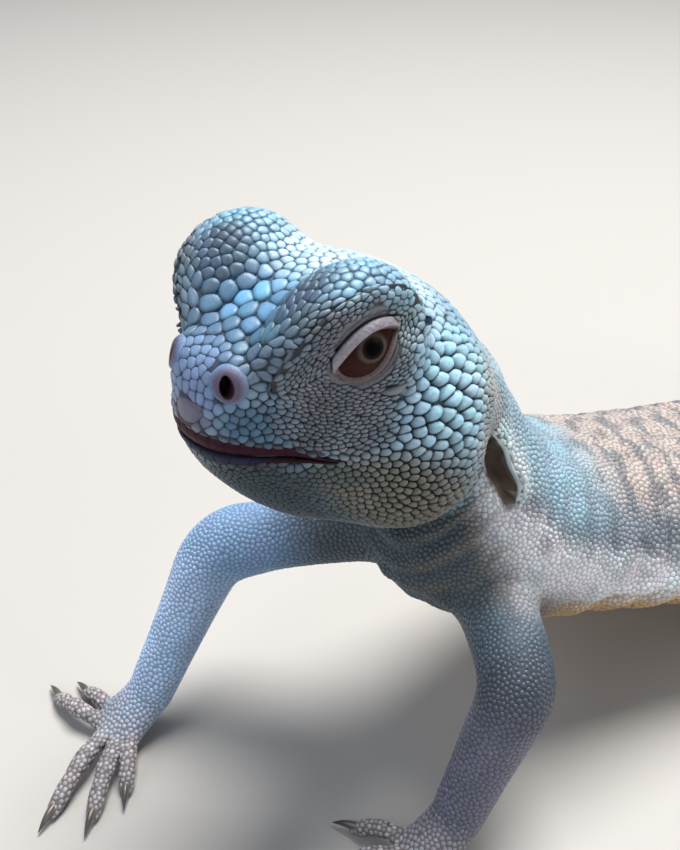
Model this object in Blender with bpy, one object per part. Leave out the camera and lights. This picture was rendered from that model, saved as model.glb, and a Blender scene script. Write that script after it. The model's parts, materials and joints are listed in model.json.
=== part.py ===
"""A life-size spiny-tailed lizard, a uromastyx, that stands on its forelegs with the head raised.

It faces -Y, its left is +X and the floor is z = 0. Lengths are in millimetres until a mesh is made.
Head, neck, trunk and tail are one surface carried along the backbone and parted by thin gaps. The
limbs are carried the same way and cut clear of the trunk by the same gap.
"""

import math

import bmesh
import bpy
import numpy as np
from mathutils import Matrix, Vector

MM = 0.001
GAP = 0.3  # between parts that touch

# The head has its own frame: a is forward of the ears, y is left, z is above the mouth's tip
SNOUT = 40.5
AXIS_HEIGHT = 4.0
HEAD_PLACE = (-0.1, -12.4, 76.2)
HEAD_YAW, HEAD_PITCH, HEAD_ROLL = 12.2, 14.1, -0.3
EYE_PLACE = (24.61, 11.95, 15.8)
EYE_RADIUS = 5.6
EYE_FACING = (0.227, 0.967, -0.118)
LID_THICKNESS = 0.7
LID_SLANT = 38.9
LID_LENGTH, UPPER_LID_RISE, LOWER_LID_FALL = 9.4, 2.7, 2.7
NOSTRIL_PLACE = (38.6, 6.2, 8.0)
NOSTRIL_FACING = (0.52, 0.84, 0.12)
NOSTRIL_RADII = (1.7, 1.25, 2.6)
EAR_PLACE = (-9.4, 16.6, -6.9)
EAR_RADII = (1.5, 2.8, 5.6)
EAR_SLANT = 34.0
MOUTH_CORNER = (24.4, -1.5)
MOUTH_DIP = 0.7  # how far the middle of the mouth's line hangs below its ends
JAW_HINGE = (9.0, -24.0)

# The backbone behind the head: s along it, the centre, how far a section leans back from upright
# and how far it is turned to the left
BACKBONE = (
    (46.0, -0.9, -8.2, 77.0, 20.0, 10.5),
    (51.5, -1.4, -4.6, 71.5, 32.0, 9.0),
    (58.0, -1.2, -1.4, 64.5, 41.0, 6.0),
    (65.0, -0.7, 2.2, 57.0, 43.0, 3.0),
    (74.5, 0.0, 8.0, 48.5, 36.0, 0.0),
    (86.5, 0.0, 17.5, 42.2, 26.0, 0.0),
    (100.5, 0.0, 30.5, 37.2, 18.0, 0.0),
    (123.5, 0.0, 52.5, 30.6, 14.0, 0.0),
    (150.5, 0.0, 79.0, 24.6, 10.0, 0.0),
    (177.5, 0.0, 106.0, 20.4, 8.0, 0.0),
    (198.5, 0.4, 127.0, 16.6, 9.0, -2.0),
    (218.5, 2.0, 146.0, 13.0, 8.0, -7.0),
    (246.5, 7.0, 173.0, 9.7, 4.0, -13.0),
    (286.5, 18.6, 211.0, 8.0, 2.0, -19.0),
    (326.5, 31.6, 249.0, 6.4, 2.0, -18.0),
    (368.5, 42.6, 289.5, 4.4, 2.0, -12.0),
)
# Half width, height above the backbone, depth below it and how much narrower the top is
GIRTH = (
    (0.0, 7.0, 7.0, 7.4, 0.16),
    (3.5, 8.2, 8.6, 10.2, 0.26),
    (7.5, 9.9, 11.2, 13.6, 0.24),
    (12.5, 13.0, 14.9, 17.2, 0.18),
    (17.5, 16.0, 17.8, 19.8, 0.14),
    (23.5, 18.8, 18.6, 21.2, 0.18),
    (30.5, 20.6, 17.4, 21.4, 0.28),
    (36.5, 20.4, 15.4, 21.2, 0.32),
    (42.5, 18.8, 13.4, 20.6, 0.28),
    (46.5, 17.4, 12.4, 20.0, 0.22),
    (51.5, 15.8, 12.4, 19.6, 0.14),
    (58.0, 15.4, 12.6, 21.4, 0.08),
    (65.0, 17.0, 13.2, 23.6, 0.06),
    (74.5, 19.4, 15.2, 23.2, 0.06),
    (86.5, 20.6, 15.6, 20.0, 0.08),
    (106.5, 22.8, 15.2, 17.4, 0.10),
    (126.5, 26.6, 14.6, 16.0, 0.12),
    (148.5, 29.5, 14.0, 15.2, 0.14),
    (168.5, 26.5, 13.4, 14.2, 0.12),
    (186.5, 21.0, 12.6, 13.2, 0.08),
    (199.5, 18.4, 12.0, 12.0, 0.04),
    (218.5, 17.0, 11.4, 10.6, 0.0),
    (246.5, 15.0, 10.2, 9.0, 0.0),
    (286.5, 11.8, 8.6, 7.4, 0.0),
    (326.5, 8.6, 6.6, 5.8, 0.0),
    (368.5, 5.0, 4.2, 3.9, 0.0),
)
SQUARENESS = 2.25  # of a section, where 2 is an ellipse
SNOUT_ROUND = 6.0
TAIL_ROUND = 5.0
BODY_LENGTH = BACKBONE[-1][0]

# Domes that swell out of the head, alike on both sides: centre and radii as (a, y, z)
DOMES = (
    ("brow", (23.9, 11.4, 15.8), (10.2, 7.6, 9.7)),
    ("orbit", (26.0, 10.8, 14.6), (8.6, 6.6, 6.4)),
    ("jowl", (9.0, 12.4, -5.0), (11.0, 9.4, 9.6)),
    ("nostril", (36.8, 3.9, 7.8), (3.4, 3.2, 3.2)),
)
DOME_BLEND = 4.4  # how softly a dome runs into the head

# Fine swellings and hollows of the head's skin: centre, spread and push as (a, y, z)
SWELLINGS = (
    ("crown between the brows", (25.0, 0.0, 20.0), (11.0, 5.5, 7.0), (0.0, 0.0, 0.7)),
    ("hollow before the eye", (33.0, 12.0, 8.0), (4.0, 5.0, 4.6), (0.0, -0.4, 0.0)),
    ("hollow under the eye", (26.0, 16.0, 6.0), (6.4, 5.0, 2.8), (0.0, -0.4, 0.0)),
    ("upper lip", (30.0, 13.5, 1.4), (8.0, 6.0, 2.2), (0.0, 0.6, 0.0)),
    ("lower lip", (30.0, 13.5, -4.4), (9.0, 6.0, 2.2), (0.0, 0.5, 0.0)),
    ("nape", (-4.0, 0.0, 20.0), (7.0, 6.0, 6.0), (0.0, 0.0, -1.0)),
)

HEAD_END, NECK_END, TORSO_END, TAIL_BASE_END, TAIL_MIDDLE_END = 62.0, 75.0, 199.5, 252.7, 310.2
HEAD_SIDES, TRUNK_SIDES, TAIL_SIDES = 40, 28, 14
HEAD_RING, NECK_RING, TORSO_RING = 2.0, 3.6, 7.4
TOP_SHARE = 0.25  # how much closer together the head's faces lie on top than underneath

# Whorls of the tail: each ring stands out at its hind edge and bears a row of spines
FIRST_WHORL, LAST_WHORL, WHORLS = 206.0, 362.5, 20
WHORL_STEP = 0.9
SPINE_SPACING = 7.4
SPINE_LENGTHS = ((201.0, 3.0), (236.0, 5.2), (296.0, 4.8), (363.0, 3.0))  # by place on the tail
SPINE_WIDTH = 0.78  # of its length
SPINE_LIFT = 24.0
SPINE_SINK = 1.3
SPINE_VARIATION = 0.16

# Limbs: shoulder or hip, elbow or knee, wrist or ankle, then half thicknesses down the limb.
# A digit has the side of the palm it grows from, its heading, its length and how far it turns.
# Angles are in degrees from +X towards +Y.
FORE_RADII = (9.0, 7.6, 6.9, 5.5, 4.9)
HIND_RADII = (12.0, 10.8, 8.6, 7.2, 5.0)
LIMBS = {
    "arm_left": {
        "joints": ((7.0, 3.0, 38.5), (30.2, -6.2, 35.0), (29.4, -16.6, 8.0)),
        "radii": FORE_RADII,
        "palm": (-82.0, 5.6),
        "digits": ((-150, -150, 9.0, 10), (-118, -112, 13.0, 8), (-84, -84, 15.5, 4),
                   (-50, -60, 14.0, -8), (-10, -22, 9.5, -12)),
    },
    "arm_right": {
        "joints": ((-8.0, -6.0, 43.0), (-25.6, -33.8, 35.5), (-23.0, -50.8, 8.0)),
        "radii": FORE_RADII,
        "palm": (-88.0, 5.6),
        "digits": ((-8, -27, 9.5, 0), (-38, -38, 15.0, 0), (-78, -52, 17.0, 0),
                   (-122, -146, 12.5, -28), (-165, -160, 8.0, -10)),
    },
    "leg_left": {
        "joints": ((8.0, 117.0, 20.5), (42.0, 97.0, 24.0), (46.0, 124.0, 8.0)),
        "radii": HIND_RADII,
        "palm": (-52.0, 8.2),
        "digits": ((-112, -100, 9.0, 6), (-84, -76, 13.5, 4), (-58, -58, 17.5, 2),
                   (-32, -42, 21.0, -4), (6, -6, 13.0, -14)),
    },
    "leg_right": {
        "joints": ((-8.0, 117.0, 20.5), (-45.0, 121.0, 22.0), (-43.0, 148.0, 8.0)),
        "radii": HIND_RADII,
        "palm": (-88.0, 8.2),
        "digits": ((-28, -40, 9.0, -6), (-56, -64, 13.5, -4), (-82, -82, 17.5, -2),
                   (-108, -98, 21.0, 4), (-146, -134, 13.0, 14)),
    },
}
LIMB_SIDES = 12
FOOT_SIDES = 10
PALM_HALF_WIDTH, PALM_HALF_HEIGHT = 6.0, 3.0
DIGIT_SIDES = 6
DIGIT_RADII = (2.1, 1.9, 1.75, 1.5)
DIGIT_ARCH = 1.6  # how far a digit's middle knuckle rises
CLAW_LENGTH = 5.6
CLAW_RADIUS = 1.0
CLAW_TIP_HEIGHT = 0.7
SOLE_SINK = 0.25  # trimmed off, which leaves small flats on the floor

COLOURS = {
    "head": (0.36, 0.56, 0.66),
    "eye": (0.09, 0.045, 0.03),
    "trunk": (0.40, 0.46, 0.53),
    "tail": (0.50, 0.48, 0.45),
    "limb": (0.42, 0.48, 0.60),
}

rng = np.random.default_rng(7)


def smooth_rows(x, rows):
    """Read a table at x, its first column being x, along a curve that runs smoothly through it."""
    table = np.array(rows, float)
    xs, ys = table[:, 0], table[:, 1:]
    slopes = np.gradient(ys, xs, axis=0)
    x = np.clip(np.atleast_1d(np.asarray(x, float)), xs[0], xs[-1])
    k = np.clip(np.searchsorted(xs, x) - 1, 0, len(xs) - 2)
    step = (xs[k + 1] - xs[k])[:, None]
    t = (x - xs[k])[:, None] / step
    start = ys[k] * (1 + 2 * t) * (1 - t) ** 2 + slopes[k] * step * t * (1 - t) ** 2
    end = ys[k + 1] * t * t * (3 - 2 * t) + slopes[k + 1] * step * t * t * (t - 1)
    return start + end


def axes(yaw, pitch, roll=0.0):
    """Forward, left and up of a section that is turned left by yaw and tips its front up by pitch."""
    yaw, pitch, roll = np.radians(yaw), np.radians(pitch), np.radians(roll)
    forward = np.stack([np.sin(yaw) * np.cos(pitch), -np.cos(yaw) * np.cos(pitch), np.sin(pitch)], -1)
    level = np.stack([np.cos(yaw), np.sin(yaw), 0 * yaw], -1)
    top = np.cross(forward, level)
    turn, lift = np.cos(roll)[..., None], np.sin(roll)[..., None]
    return forward, level * turn + top * lift, top * turn - level * lift


def head_point(a, y, z):
    """A place given in the head's own frame, in the model's frame."""
    forward, left, up = axes(HEAD_YAW, HEAD_PITCH, HEAD_ROLL)
    return np.array(HEAD_PLACE) + a * forward + y * left + z * up


def head_direction(a, y, z):
    way = head_point(a, y, z) - head_point(0, 0, 0)
    return way / np.linalg.norm(way)


def spine_rows():
    """The backbone from the snout's tip: the head's stretch is straight and joins the table."""
    rows = []
    for s in (0.0, 14.0, 28.0, 40.5):
        place = head_point(SNOUT - s, 0, AXIS_HEIGHT)
        rows.append((s, *place, HEAD_PITCH, HEAD_YAW, HEAD_ROLL))
    for s, x, y, z, pitch, yaw in BACKBONE:
        rows.append((s, x, y, z, pitch, yaw, HEAD_ROLL * max(0.0, 1 - (s - 40.5) / 24.0)))
    return rows


def whorl_rise(s):
    """How far a tail ring stands out at s: it grows to the ring's hind edge and drops back."""
    spacing = (LAST_WHORL - FIRST_WHORL) / (WHORLS - 1)
    phase = (s - FIRST_WHORL) / spacing + 1
    on_tail = (phase > 0) & (phase < WHORLS)
    fade = np.clip(1.15 - 0.5 * (s - FIRST_WHORL) / (LAST_WHORL - FIRST_WHORL), 0.3, 1)
    return np.where(on_tail, WHORL_STEP * fade * (phase % 1.0) ** 1.3, 0.0)


def with_domes(a, y, z):
    """Move points of the head's section out to the domes, by the last way out along each ray."""
    reach = np.hypot(y, z)
    along_y, along_z = y / np.maximum(reach, 1e-6), z / np.maximum(reach, 1e-6)
    steps = np.linspace(0.3, 34.0, 60)
    ray = reach[:, None] * 0 + steps
    field = ray - reach[:, None]
    for _, centre, radii in DOMES:
        for side in (1.0, -1.0):
            q = np.stack([np.broadcast_to((a - centre[0])[:, None] / radii[0], ray.shape),
                          (along_y[:, None] * ray - side * centre[1]) / radii[1],
                          (along_z[:, None] * ray + AXIS_HEIGHT - centre[2]) / radii[2]])
            size = np.sqrt((q ** 2).sum(0))
            dome = (size - 1) * (sum(radii) / 3)
            mix = np.clip(0.5 + 0.5 * (field - dome) / DOME_BLEND, 0, 1)
            field = field * (1 - mix) + dome * mix - DOME_BLEND * mix * (1 - mix)
    inside = field < 0
    last = inside.shape[1] - 1 - np.argmax(inside[:, ::-1], axis=1)
    last = np.clip(last, 0, len(steps) - 2)
    row = np.arange(len(last))
    before, after = field[row, last], field[row, last + 1]
    edge = steps[last] + (steps[1] - steps[0]) * before / np.minimum(before - after, -1e-9)
    edge = np.where(inside.any(1), edge, reach)
    return along_y * edge, along_z * edge


def body_points(s, angle, grow=0.0):
    """Points of the body at s along it and at an angle from its left side up over the back."""
    s, angle = np.broadcast_arrays(np.asarray(s, float), np.asarray(angle, float))
    shape = s.shape
    s, angle = s.ravel(), angle.ravel()
    width, height, depth, narrowing = smooth_rows(s, GIRTH).T
    cosine, sine = np.cos(angle), np.sin(angle)
    power = 2 / SQUARENESS
    tall = np.where(sine > 0, height, depth)
    y = width * np.sign(cosine) * np.abs(cosine) ** power
    z = tall * np.sign(sine) * np.abs(sine) ** power
    y = y * (1 - narrowing * np.clip(z / height, 0, 1) ** 1.5)
    near_snout = np.clip(s / SNOUT_ROUND, 0, 1)
    near_tip = np.clip((BODY_LENGTH - s) / TAIL_ROUND, 0, 1)
    taper = np.sqrt(1 - (1 - near_snout) ** 2) * np.sqrt(1 - (1 - near_tip) ** 2)
    rise = grow + whorl_rise(s)
    y = y * taper + rise * cosine * (taper > 0.5)
    z = z * taper + rise * sine * (taper > 0.5)
    a = SNOUT - s
    head = s < HEAD_END + 8
    y[head], z[head] = with_domes(a[head], y[head], z[head])
    local = np.stack([a, y, z + AXIS_HEIGHT], -1)
    push = np.zeros_like(local)
    for _, centre, spread, shift in SWELLINGS:
        side = np.where(local[:, 1] < 0, -1.0, 1.0) if centre[1] else np.ones(len(a))
        mirrored = local * np.stack([np.ones(len(a)), side, np.ones(len(a))], -1)
        weight = np.exp(-(((mirrored - centre) / spread) ** 2).sum(-1))
        push += weight[:, None] * np.stack([np.full(len(a), shift[0]), side * shift[1],
                                            np.full(len(a), shift[2])], -1)
    row = smooth_rows(s, spine_rows())
    forward, left, up = axes(row[:, 4], row[:, 3], row[:, 5])
    y, z = y + push[:, 1], z + push[:, 2]
    points = row[:, :3] + forward * push[:, :1] + left * y[:, None] + up * z[:, None]
    return points.reshape(shape + (3,))


def make_object(name, points, faces):
    """A closed mesh object from points in millimetres."""
    mesh = bpy.data.meshes.new(name)
    mesh.from_pydata([tuple(p) for p in np.asarray(points) * MM], [], faces)
    mesh.update()
    item = bpy.data.objects.new(name, mesh)
    bpy.context.scene.collection.objects.link(item)
    return item


def rings_mesh(rings, first_pole=None, last_pole=None):
    """Points and faces of a closed skin over rings of like count, capped flat or to a pole."""
    count, sides = rings.shape[:2]
    points = list(rings.reshape(-1, 3))
    faces = []
    for i in range(count - 1):
        for j in range(sides):
            k = (j + 1) % sides
            faces.append((i * sides + j, (i + 1) * sides + j, (i + 1) * sides + k, i * sides + k))
    points.append(rings[0].mean(0) if first_pole is None else first_pole)
    points.append(rings[-1].mean(0) if last_pole is None else last_pole)
    start, end = len(points) - 2, len(points) - 1
    for j in range(sides):
        k = (j + 1) % sides
        faces.append((start, j, k))
        faces.append((end, (count - 1) * sides + k, (count - 1) * sides + j))
    return np.array(points), faces


def outward(item):
    """Turn every face of a closed object outwards and leave it in triangles."""
    bm = bmesh.new()
    bm.from_mesh(item.data)
    bmesh.ops.recalc_face_normals(bm, faces=bm.faces)
    bmesh.ops.triangulate(bm, faces=bm.faces)
    bm.to_mesh(item.data)
    bm.free()
    return item


def body_length(name, stations, sides, grow=0.0):
    """A stretch of the body through the given stations, closed at both ends."""
    turn = np.arange(sides) * 2 * math.pi / sides
    angles = turn + TOP_SHARE * np.cos(turn) * (sides == HEAD_SIDES)
    rings = body_points(np.asarray(stations)[:, None], angles[None, :], grow)
    return outward(make_object(name, *rings_mesh(rings)))


def stations_between(start, end, spacing):
    return np.linspace(start, end, max(2, round((end - start) / spacing) + 1))


def carried(path, half_widths, half_heights, sides, name, round_start=0.0, round_end=0.0):
    """A tube along a path, flat underneath where its sides allow, with ends rounded by a radius."""
    path = np.asarray(path, float)
    tangent = np.gradient(path, axis=0)
    tangent /= np.linalg.norm(tangent, axis=1)[:, None]
    centres, widths, heights, ways = [], [], [], []
    cap = np.radians([66.0, 34.0])
    if round_start:
        for tip in cap:
            centres.append(path[0] - tangent[0] * round_start * math.sin(tip))
            widths.append(half_widths[0] * math.cos(tip))
            heights.append(half_heights[0] * math.cos(tip))
            ways.append(tangent[0])
    centres += list(path)
    widths += list(half_widths)
    heights += list(half_heights)
    ways += list(tangent)
    if round_end:
        for tip in cap[::-1]:
            centres.append(path[-1] + tangent[-1] * round_end * math.sin(tip))
            widths.append(half_widths[-1] * math.cos(tip))
            heights.append(half_heights[-1] * math.cos(tip))
            ways.append(tangent[-1])
    centres, ways = np.array(centres), np.array(ways)
    across = np.cross((0.0, 0.0, 1.0), ways)
    across /= np.linalg.norm(across, axis=1)[:, None]
    top = np.cross(ways, across)
    angles = np.arange(sides) * 2 * math.pi / sides
    spread_out = np.cos(angles)[None, :, None] * np.array(widths)[:, None, None] * across[:, None]
    raised = np.sin(angles)[None, :, None] * np.array(heights)[:, None, None] * top[:, None]
    rings = centres[:, None] + spread_out + raised
    first = path[0] - tangent[0] * round_start
    last = path[-1] + tangent[-1] * round_end
    return outward(make_object(name, *rings_mesh(rings, first, last)))


def keep_side(item, place, normal):
    """Cut a closed object by a plane, keep the side the normal points to and close the cut."""
    bm = bmesh.new()
    bm.from_mesh(item.data)
    everything = bm.verts[:] + bm.edges[:] + bm.faces[:]
    bmesh.ops.bisect_plane(bm, geom=everything, dist=1e-8, plane_co=Vector(np.asarray(place) * MM),
                           plane_no=Vector(normal), clear_inner=True)
    rim = [edge for edge in bm.edges if len(edge.link_faces) == 1]
    bmesh.ops.holes_fill(bm, edges=rim, sides=0)
    bmesh.ops.recalc_face_normals(bm, faces=bm.faces)
    bmesh.ops.triangulate(bm, faces=bm.faces)
    bm.to_mesh(item.data)
    bm.free()
    return item


def keep_largest(item):
    """Leave only the largest closed surface of an object."""
    bm = bmesh.new()
    bm.from_mesh(item.data)
    bmesh.ops.triangulate(bm, faces=bm.faces)
    unseen = set(bm.faces)
    shells = []
    while unseen:
        shell, edge_of = [], [unseen.pop()]
        while edge_of:
            face = edge_of.pop()
            shell.append(face)
            for edge in face.edges:
                for other in edge.link_faces:
                    if other in unseen:
                        unseen.discard(other)
                        edge_of.append(other)
        shells.append(shell)
    best = max(shells, key=lambda shell: sum(face.calc_area() for face in shell))
    best = set(best)
    bmesh.ops.delete(bm, geom=[face for face in bm.faces if face not in best], context="FACES")
    bm.to_mesh(item.data)
    bm.free()
    return item


def combine(item, others, operation, solver="EXACT"):
    """Apply one Boolean of an object with others, which are used up."""
    group = bpy.data.collections.new(item.name + "_pieces")
    bpy.context.scene.collection.children.link(group)
    for other in others:
        for owner in list(other.users_collection):
            owner.objects.unlink(other)
        group.objects.link(other)
    modifier = item.modifiers.new("combine", "BOOLEAN")
    modifier.operation = operation
    modifier.solver = solver
    modifier.operand_type = "COLLECTION"
    modifier.collection = group
    depsgraph = bpy.context.evaluated_depsgraph_get()
    depsgraph.update()
    result = bpy.data.meshes.new_from_object(item.evaluated_get(depsgraph))
    item.modifiers.clear()
    worn = item.data
    item.data = result
    bpy.data.meshes.remove(worn)
    for other in list(group.objects):
        mesh = other.data
        bpy.data.objects.remove(other)
        bpy.data.meshes.remove(mesh)
    bpy.data.collections.remove(group)
    return keep_largest(item)


def ball(name, centre, radii, facing, segments, rings, sideways=None):
    """An egg of three radii whose last radius lies along facing and whose first lies along sideways."""
    out = np.asarray(facing, float) / np.linalg.norm(facing)
    guide = np.array((0.0, 0.0, 1.0)) if sideways is None else np.asarray(sideways, float)
    first = guide - out * guide.dot(out)
    first /= np.linalg.norm(first)
    second = np.cross(out, first)
    tilt = np.linspace(0, math.pi, rings + 1)[1:-1]
    turn = np.arange(segments) * 2 * math.pi / segments
    sine = np.sin(tilt)[:, None, None]
    circle = (np.cos(turn)[None, :, None] * radii[0] * first
              + np.sin(turn)[None, :, None] * radii[1] * second)
    circles = np.asarray(centre) + sine * circle + np.cos(tilt)[:, None, None] * radii[2] * out
    points, faces = rings_mesh(circles, centre + radii[2] * out, centre - radii[2] * out)
    return outward(make_object(name, points, faces))


def prism(name, outline, extent):
    """A closed solid swept from an outline of points by the vector extent."""
    outline = np.asarray(outline, float)
    count = len(outline)
    points = np.concatenate([outline, outline + extent])
    faces = [tuple(range(count)), tuple(range(2 * count - 1, count - 1, -1))]
    for j in range(count):
        k = (j + 1) % count
        faces.append((j, j + count, k + count, k))
    return outward(make_object(name, points, faces))


def eye_axes(side):
    """An eye's centre, the way it faces and the way its opening runs, from front to back."""
    centre = head_point(EYE_PLACE[0], EYE_PLACE[1] * side, EYE_PLACE[2])
    facing = head_direction(EYE_FACING[0], EYE_FACING[1] * side, EYE_FACING[2])
    slant = math.radians(LID_SLANT)
    back = head_direction(-math.cos(slant), 0, math.sin(slant))
    back = back - facing * back.dot(facing)
    back /= np.linalg.norm(back)
    rise = np.cross(facing, back) * side
    return centre, facing, back, rise


def lid_opening(side):
    """The almond between the lids, swept out through them."""
    centre, facing, back, rise = eye_axes(side)
    along = np.linspace(-1, 1, 9)
    upper = [back * (LID_LENGTH / 2 * t) + rise * (UPPER_LID_RISE * (1 - t * t)) for t in along]
    lower = [back * (LID_LENGTH / 2 * t) - rise * (LOWER_LID_FALL * (1 - t * t)) for t in along[-2:0:-1]]
    outline = centre + facing * 1.0 + np.array(upper + lower)
    return prism("lid_opening", outline, facing * 9.0)


def mouth_block(shift):
    """The space under the mouth's line and before the jaw's hinge, moved by (a, z)."""
    a = np.linspace(MOUTH_CORNER[0], SNOUT, 7)
    t = (a - a[0]) / (a[-1] - a[0])
    z = MOUTH_CORNER[1] + 0.3 * t - MOUTH_DIP * np.sin(math.pi * t) ** 2 * t
    side_view = list(zip(a, z)) + [(70.0, z[-1]), (70.0, -50.0), (JAW_HINGE[0], -50.0), JAW_HINGE]
    outline = [head_point(u + shift[0], -50.0, v + shift[1]) for u, v in side_view]
    return prism("mouth_block", outline, head_direction(0, 1, 0) * 100.0)


def build_head():
    """Head and jaw, parted along the mouth, with lids, nostrils and ear openings."""
    tip = SNOUT_ROUND * (1 - np.cos(np.radians([16.0, 34.0, 52.0, 70.0])))
    stations = np.concatenate([tip, stations_between(SNOUT_ROUND - 0.4, HEAD_END - GAP / 2, HEAD_RING)])
    head = body_length("head", stations, HEAD_SIDES)
    lids, hollows = [], []
    for side in (1, -1):
        centre, facing, back, _ = eye_axes(side)
        lid = EYE_RADIUS + GAP + LID_THICKNESS
        lids.append(ball("lids", centre, (lid,) * 3, facing, 18, 10, back))
        socket = EYE_RADIUS + GAP
        hollows.append(ball("socket", centre, (socket,) * 3, facing, 18, 10, back))
        hollows.append(lid_opening(side))
        hollows.append(ball("nostril", head_point(NOSTRIL_PLACE[0], NOSTRIL_PLACE[1] * side, NOSTRIL_PLACE[2]),
                            NOSTRIL_RADII,
                            head_direction(NOSTRIL_FACING[0], NOSTRIL_FACING[1] * side, NOSTRIL_FACING[2]),
                            10, 6, head_direction(0.3, 0, 1)))
        slant = math.radians(EAR_SLANT)
        hollows.append(ball("ear", head_point(EAR_PLACE[0], EAR_PLACE[1] * side, EAR_PLACE[2]),
                            (EAR_RADII[2], EAR_RADII[0], EAR_RADII[1]),
                            head_direction(0.1, side, 0), 12, 6,
                            head_direction(math.sin(slant), 0, math.cos(slant))))
    combine(head, lids, "UNION")
    combine(head, hollows, "DIFFERENCE")
    jaw = head.copy()
    jaw.data = head.data.copy()
    jaw.name = "jaw"
    bpy.context.scene.collection.objects.link(jaw)
    combine(head, [mouth_block((-GAP * 0.4, GAP / 2))], "DIFFERENCE")
    combine(jaw, [mouth_block((GAP * 0.4, -GAP / 2))], "INTERSECT")
    for side, name in ((1, "eye_left"), (-1, "eye_right")):
        centre, facing, back, _ = eye_axes(side)
        ball(name, centre, (EYE_RADIUS,) * 3, facing, 18, 10, back)


def spine_on_tail(s, angle, length):
    """A four-sided spine whose root is sunk in the tail and whose point lies back along it."""
    root = body_points(s, angle)
    around = body_points(s, angle + 0.05) - body_points(s, angle - 0.05)
    around = around / np.linalg.norm(around)
    row = smooth_rows(s, spine_rows())[0]
    back = -axes(row[4], row[3], row[5])[0]
    out = np.cross(around, back)
    out *= np.sign(out.dot(root - row[:3])) / np.linalg.norm(out)
    lift = math.radians(SPINE_LIFT)
    width = length * SPINE_WIDTH
    way = back * math.cos(lift) + out * math.sin(lift)
    foot = root - out * SPINE_SINK
    points = [foot - back * width * 0.9, foot + around * width * 0.62,
              foot + back * width * 0.6, foot - around * width * 0.62, root + way * length]
    faces = [(0, 1, 2, 3)] + [(4, (j + 1) % 4, j) for j in range(4)]
    return outward(make_object("spine", np.array(points), faces))


def whorl_spines(start, end):
    """The spines of every whorl between two stations, over the back and down both sides."""
    spines = []
    for s in np.linspace(FIRST_WHORL, LAST_WHORL, WHORLS):
        if not start < s < end:
            continue
        width, height = smooth_rows(s, GIRTH)[0][:2]
        length = smooth_rows(s, SPINE_LENGTHS)[0][0]
        count = max(4, round(1.24 * math.pi * math.hypot(width, height) / math.sqrt(2) / SPINE_SPACING))
        low = math.radians(-22)
        for angle in np.linspace(low, math.pi - low, count):
            vary = 1 + SPINE_VARIATION * rng.uniform(-1, 1)
            flank = 1.1 if abs(math.cos(angle)) > 0.7 else 0.9
            spines.append(spine_on_tail(s - 0.9, angle + rng.uniform(-0.03, 0.03), length * vary * flank))
    return spines


def build_tail(name, start, end):
    """One length of the tail, its rings fused with their spines and flat where it meets the floor."""
    spacing = (LAST_WHORL - FIRST_WHORL) / (WHORLS - 1)
    edges = FIRST_WHORL + spacing * np.arange(WHORLS)
    marks = np.concatenate([edges - 0.08, edges + 0.08, edges - spacing * 0.45, [start, end]])
    marks = np.unique(np.round(marks[(marks >= start) & (marks <= end)], 3))
    if end >= BODY_LENGTH:
        marks = np.concatenate([marks[:-1], end - TAIL_ROUND * (1 - np.sin(np.radians([45.0, 75.0])))])
        marks = np.unique(np.round(marks, 3))
    tail = body_length(name, marks, TAIL_SIDES)
    combine(tail, whorl_spines(start, end), "UNION")
    row = smooth_rows(start + 0.02, spine_rows())[0]
    keep_side(tail, row[:3], -axes(row[4], row[3], row[5])[0])
    return keep_largest(keep_side(tail, (0, 0, 0), (0, 0, 1)))


def build_trunk():
    body_length("neck", stations_between(HEAD_END + GAP / 2, NECK_END - GAP / 2, NECK_RING), TRUNK_SIDES)
    body_length("torso", stations_between(NECK_END + GAP / 2, TORSO_END - GAP / 2, TORSO_RING), TRUNK_SIDES)
    build_tail("tail_base", TORSO_END + GAP / 2, TAIL_BASE_END - GAP / 2)
    build_tail("tail_middle", TAIL_BASE_END + GAP / 2, TAIL_MIDDLE_END - GAP / 2)
    build_tail("tail_tip", TAIL_MIDDLE_END + GAP / 2, BODY_LENGTH)


def segment(name, start, end, radii, round_start):
    """A length of limb whose thickness passes through three radii, rounded at its joints."""
    t = np.linspace(0, 1, 6)
    path = np.asarray(start) + t[:, None] * (np.asarray(end) - start)
    thick = smooth_rows(t, [(0.0, radii[0]), (0.45, radii[1]), (1.0, radii[2])])[:, 0]
    return carried(path, thick, thick * 0.96, LIMB_SIDES, name, radii[0] if round_start else 0.0, radii[2])


def part_at(joint, before, after, first, second):
    """Part two rounded lengths at the joint they share, by the plane midway between their directions."""
    joint = np.asarray(joint, float)
    ahead = (joint - before) / np.linalg.norm(joint - before)
    beyond = (after - joint) / np.linalg.norm(after - joint)
    normal = ahead + beyond
    normal /= np.linalg.norm(normal)
    keep_side(first, joint - normal * GAP / 2, -normal)
    keep_side(second, joint + normal * GAP / 2, normal)


def bearing(degrees):
    return np.array([math.cos(math.radians(degrees)), math.sin(math.radians(degrees)), 0.0])


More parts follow.
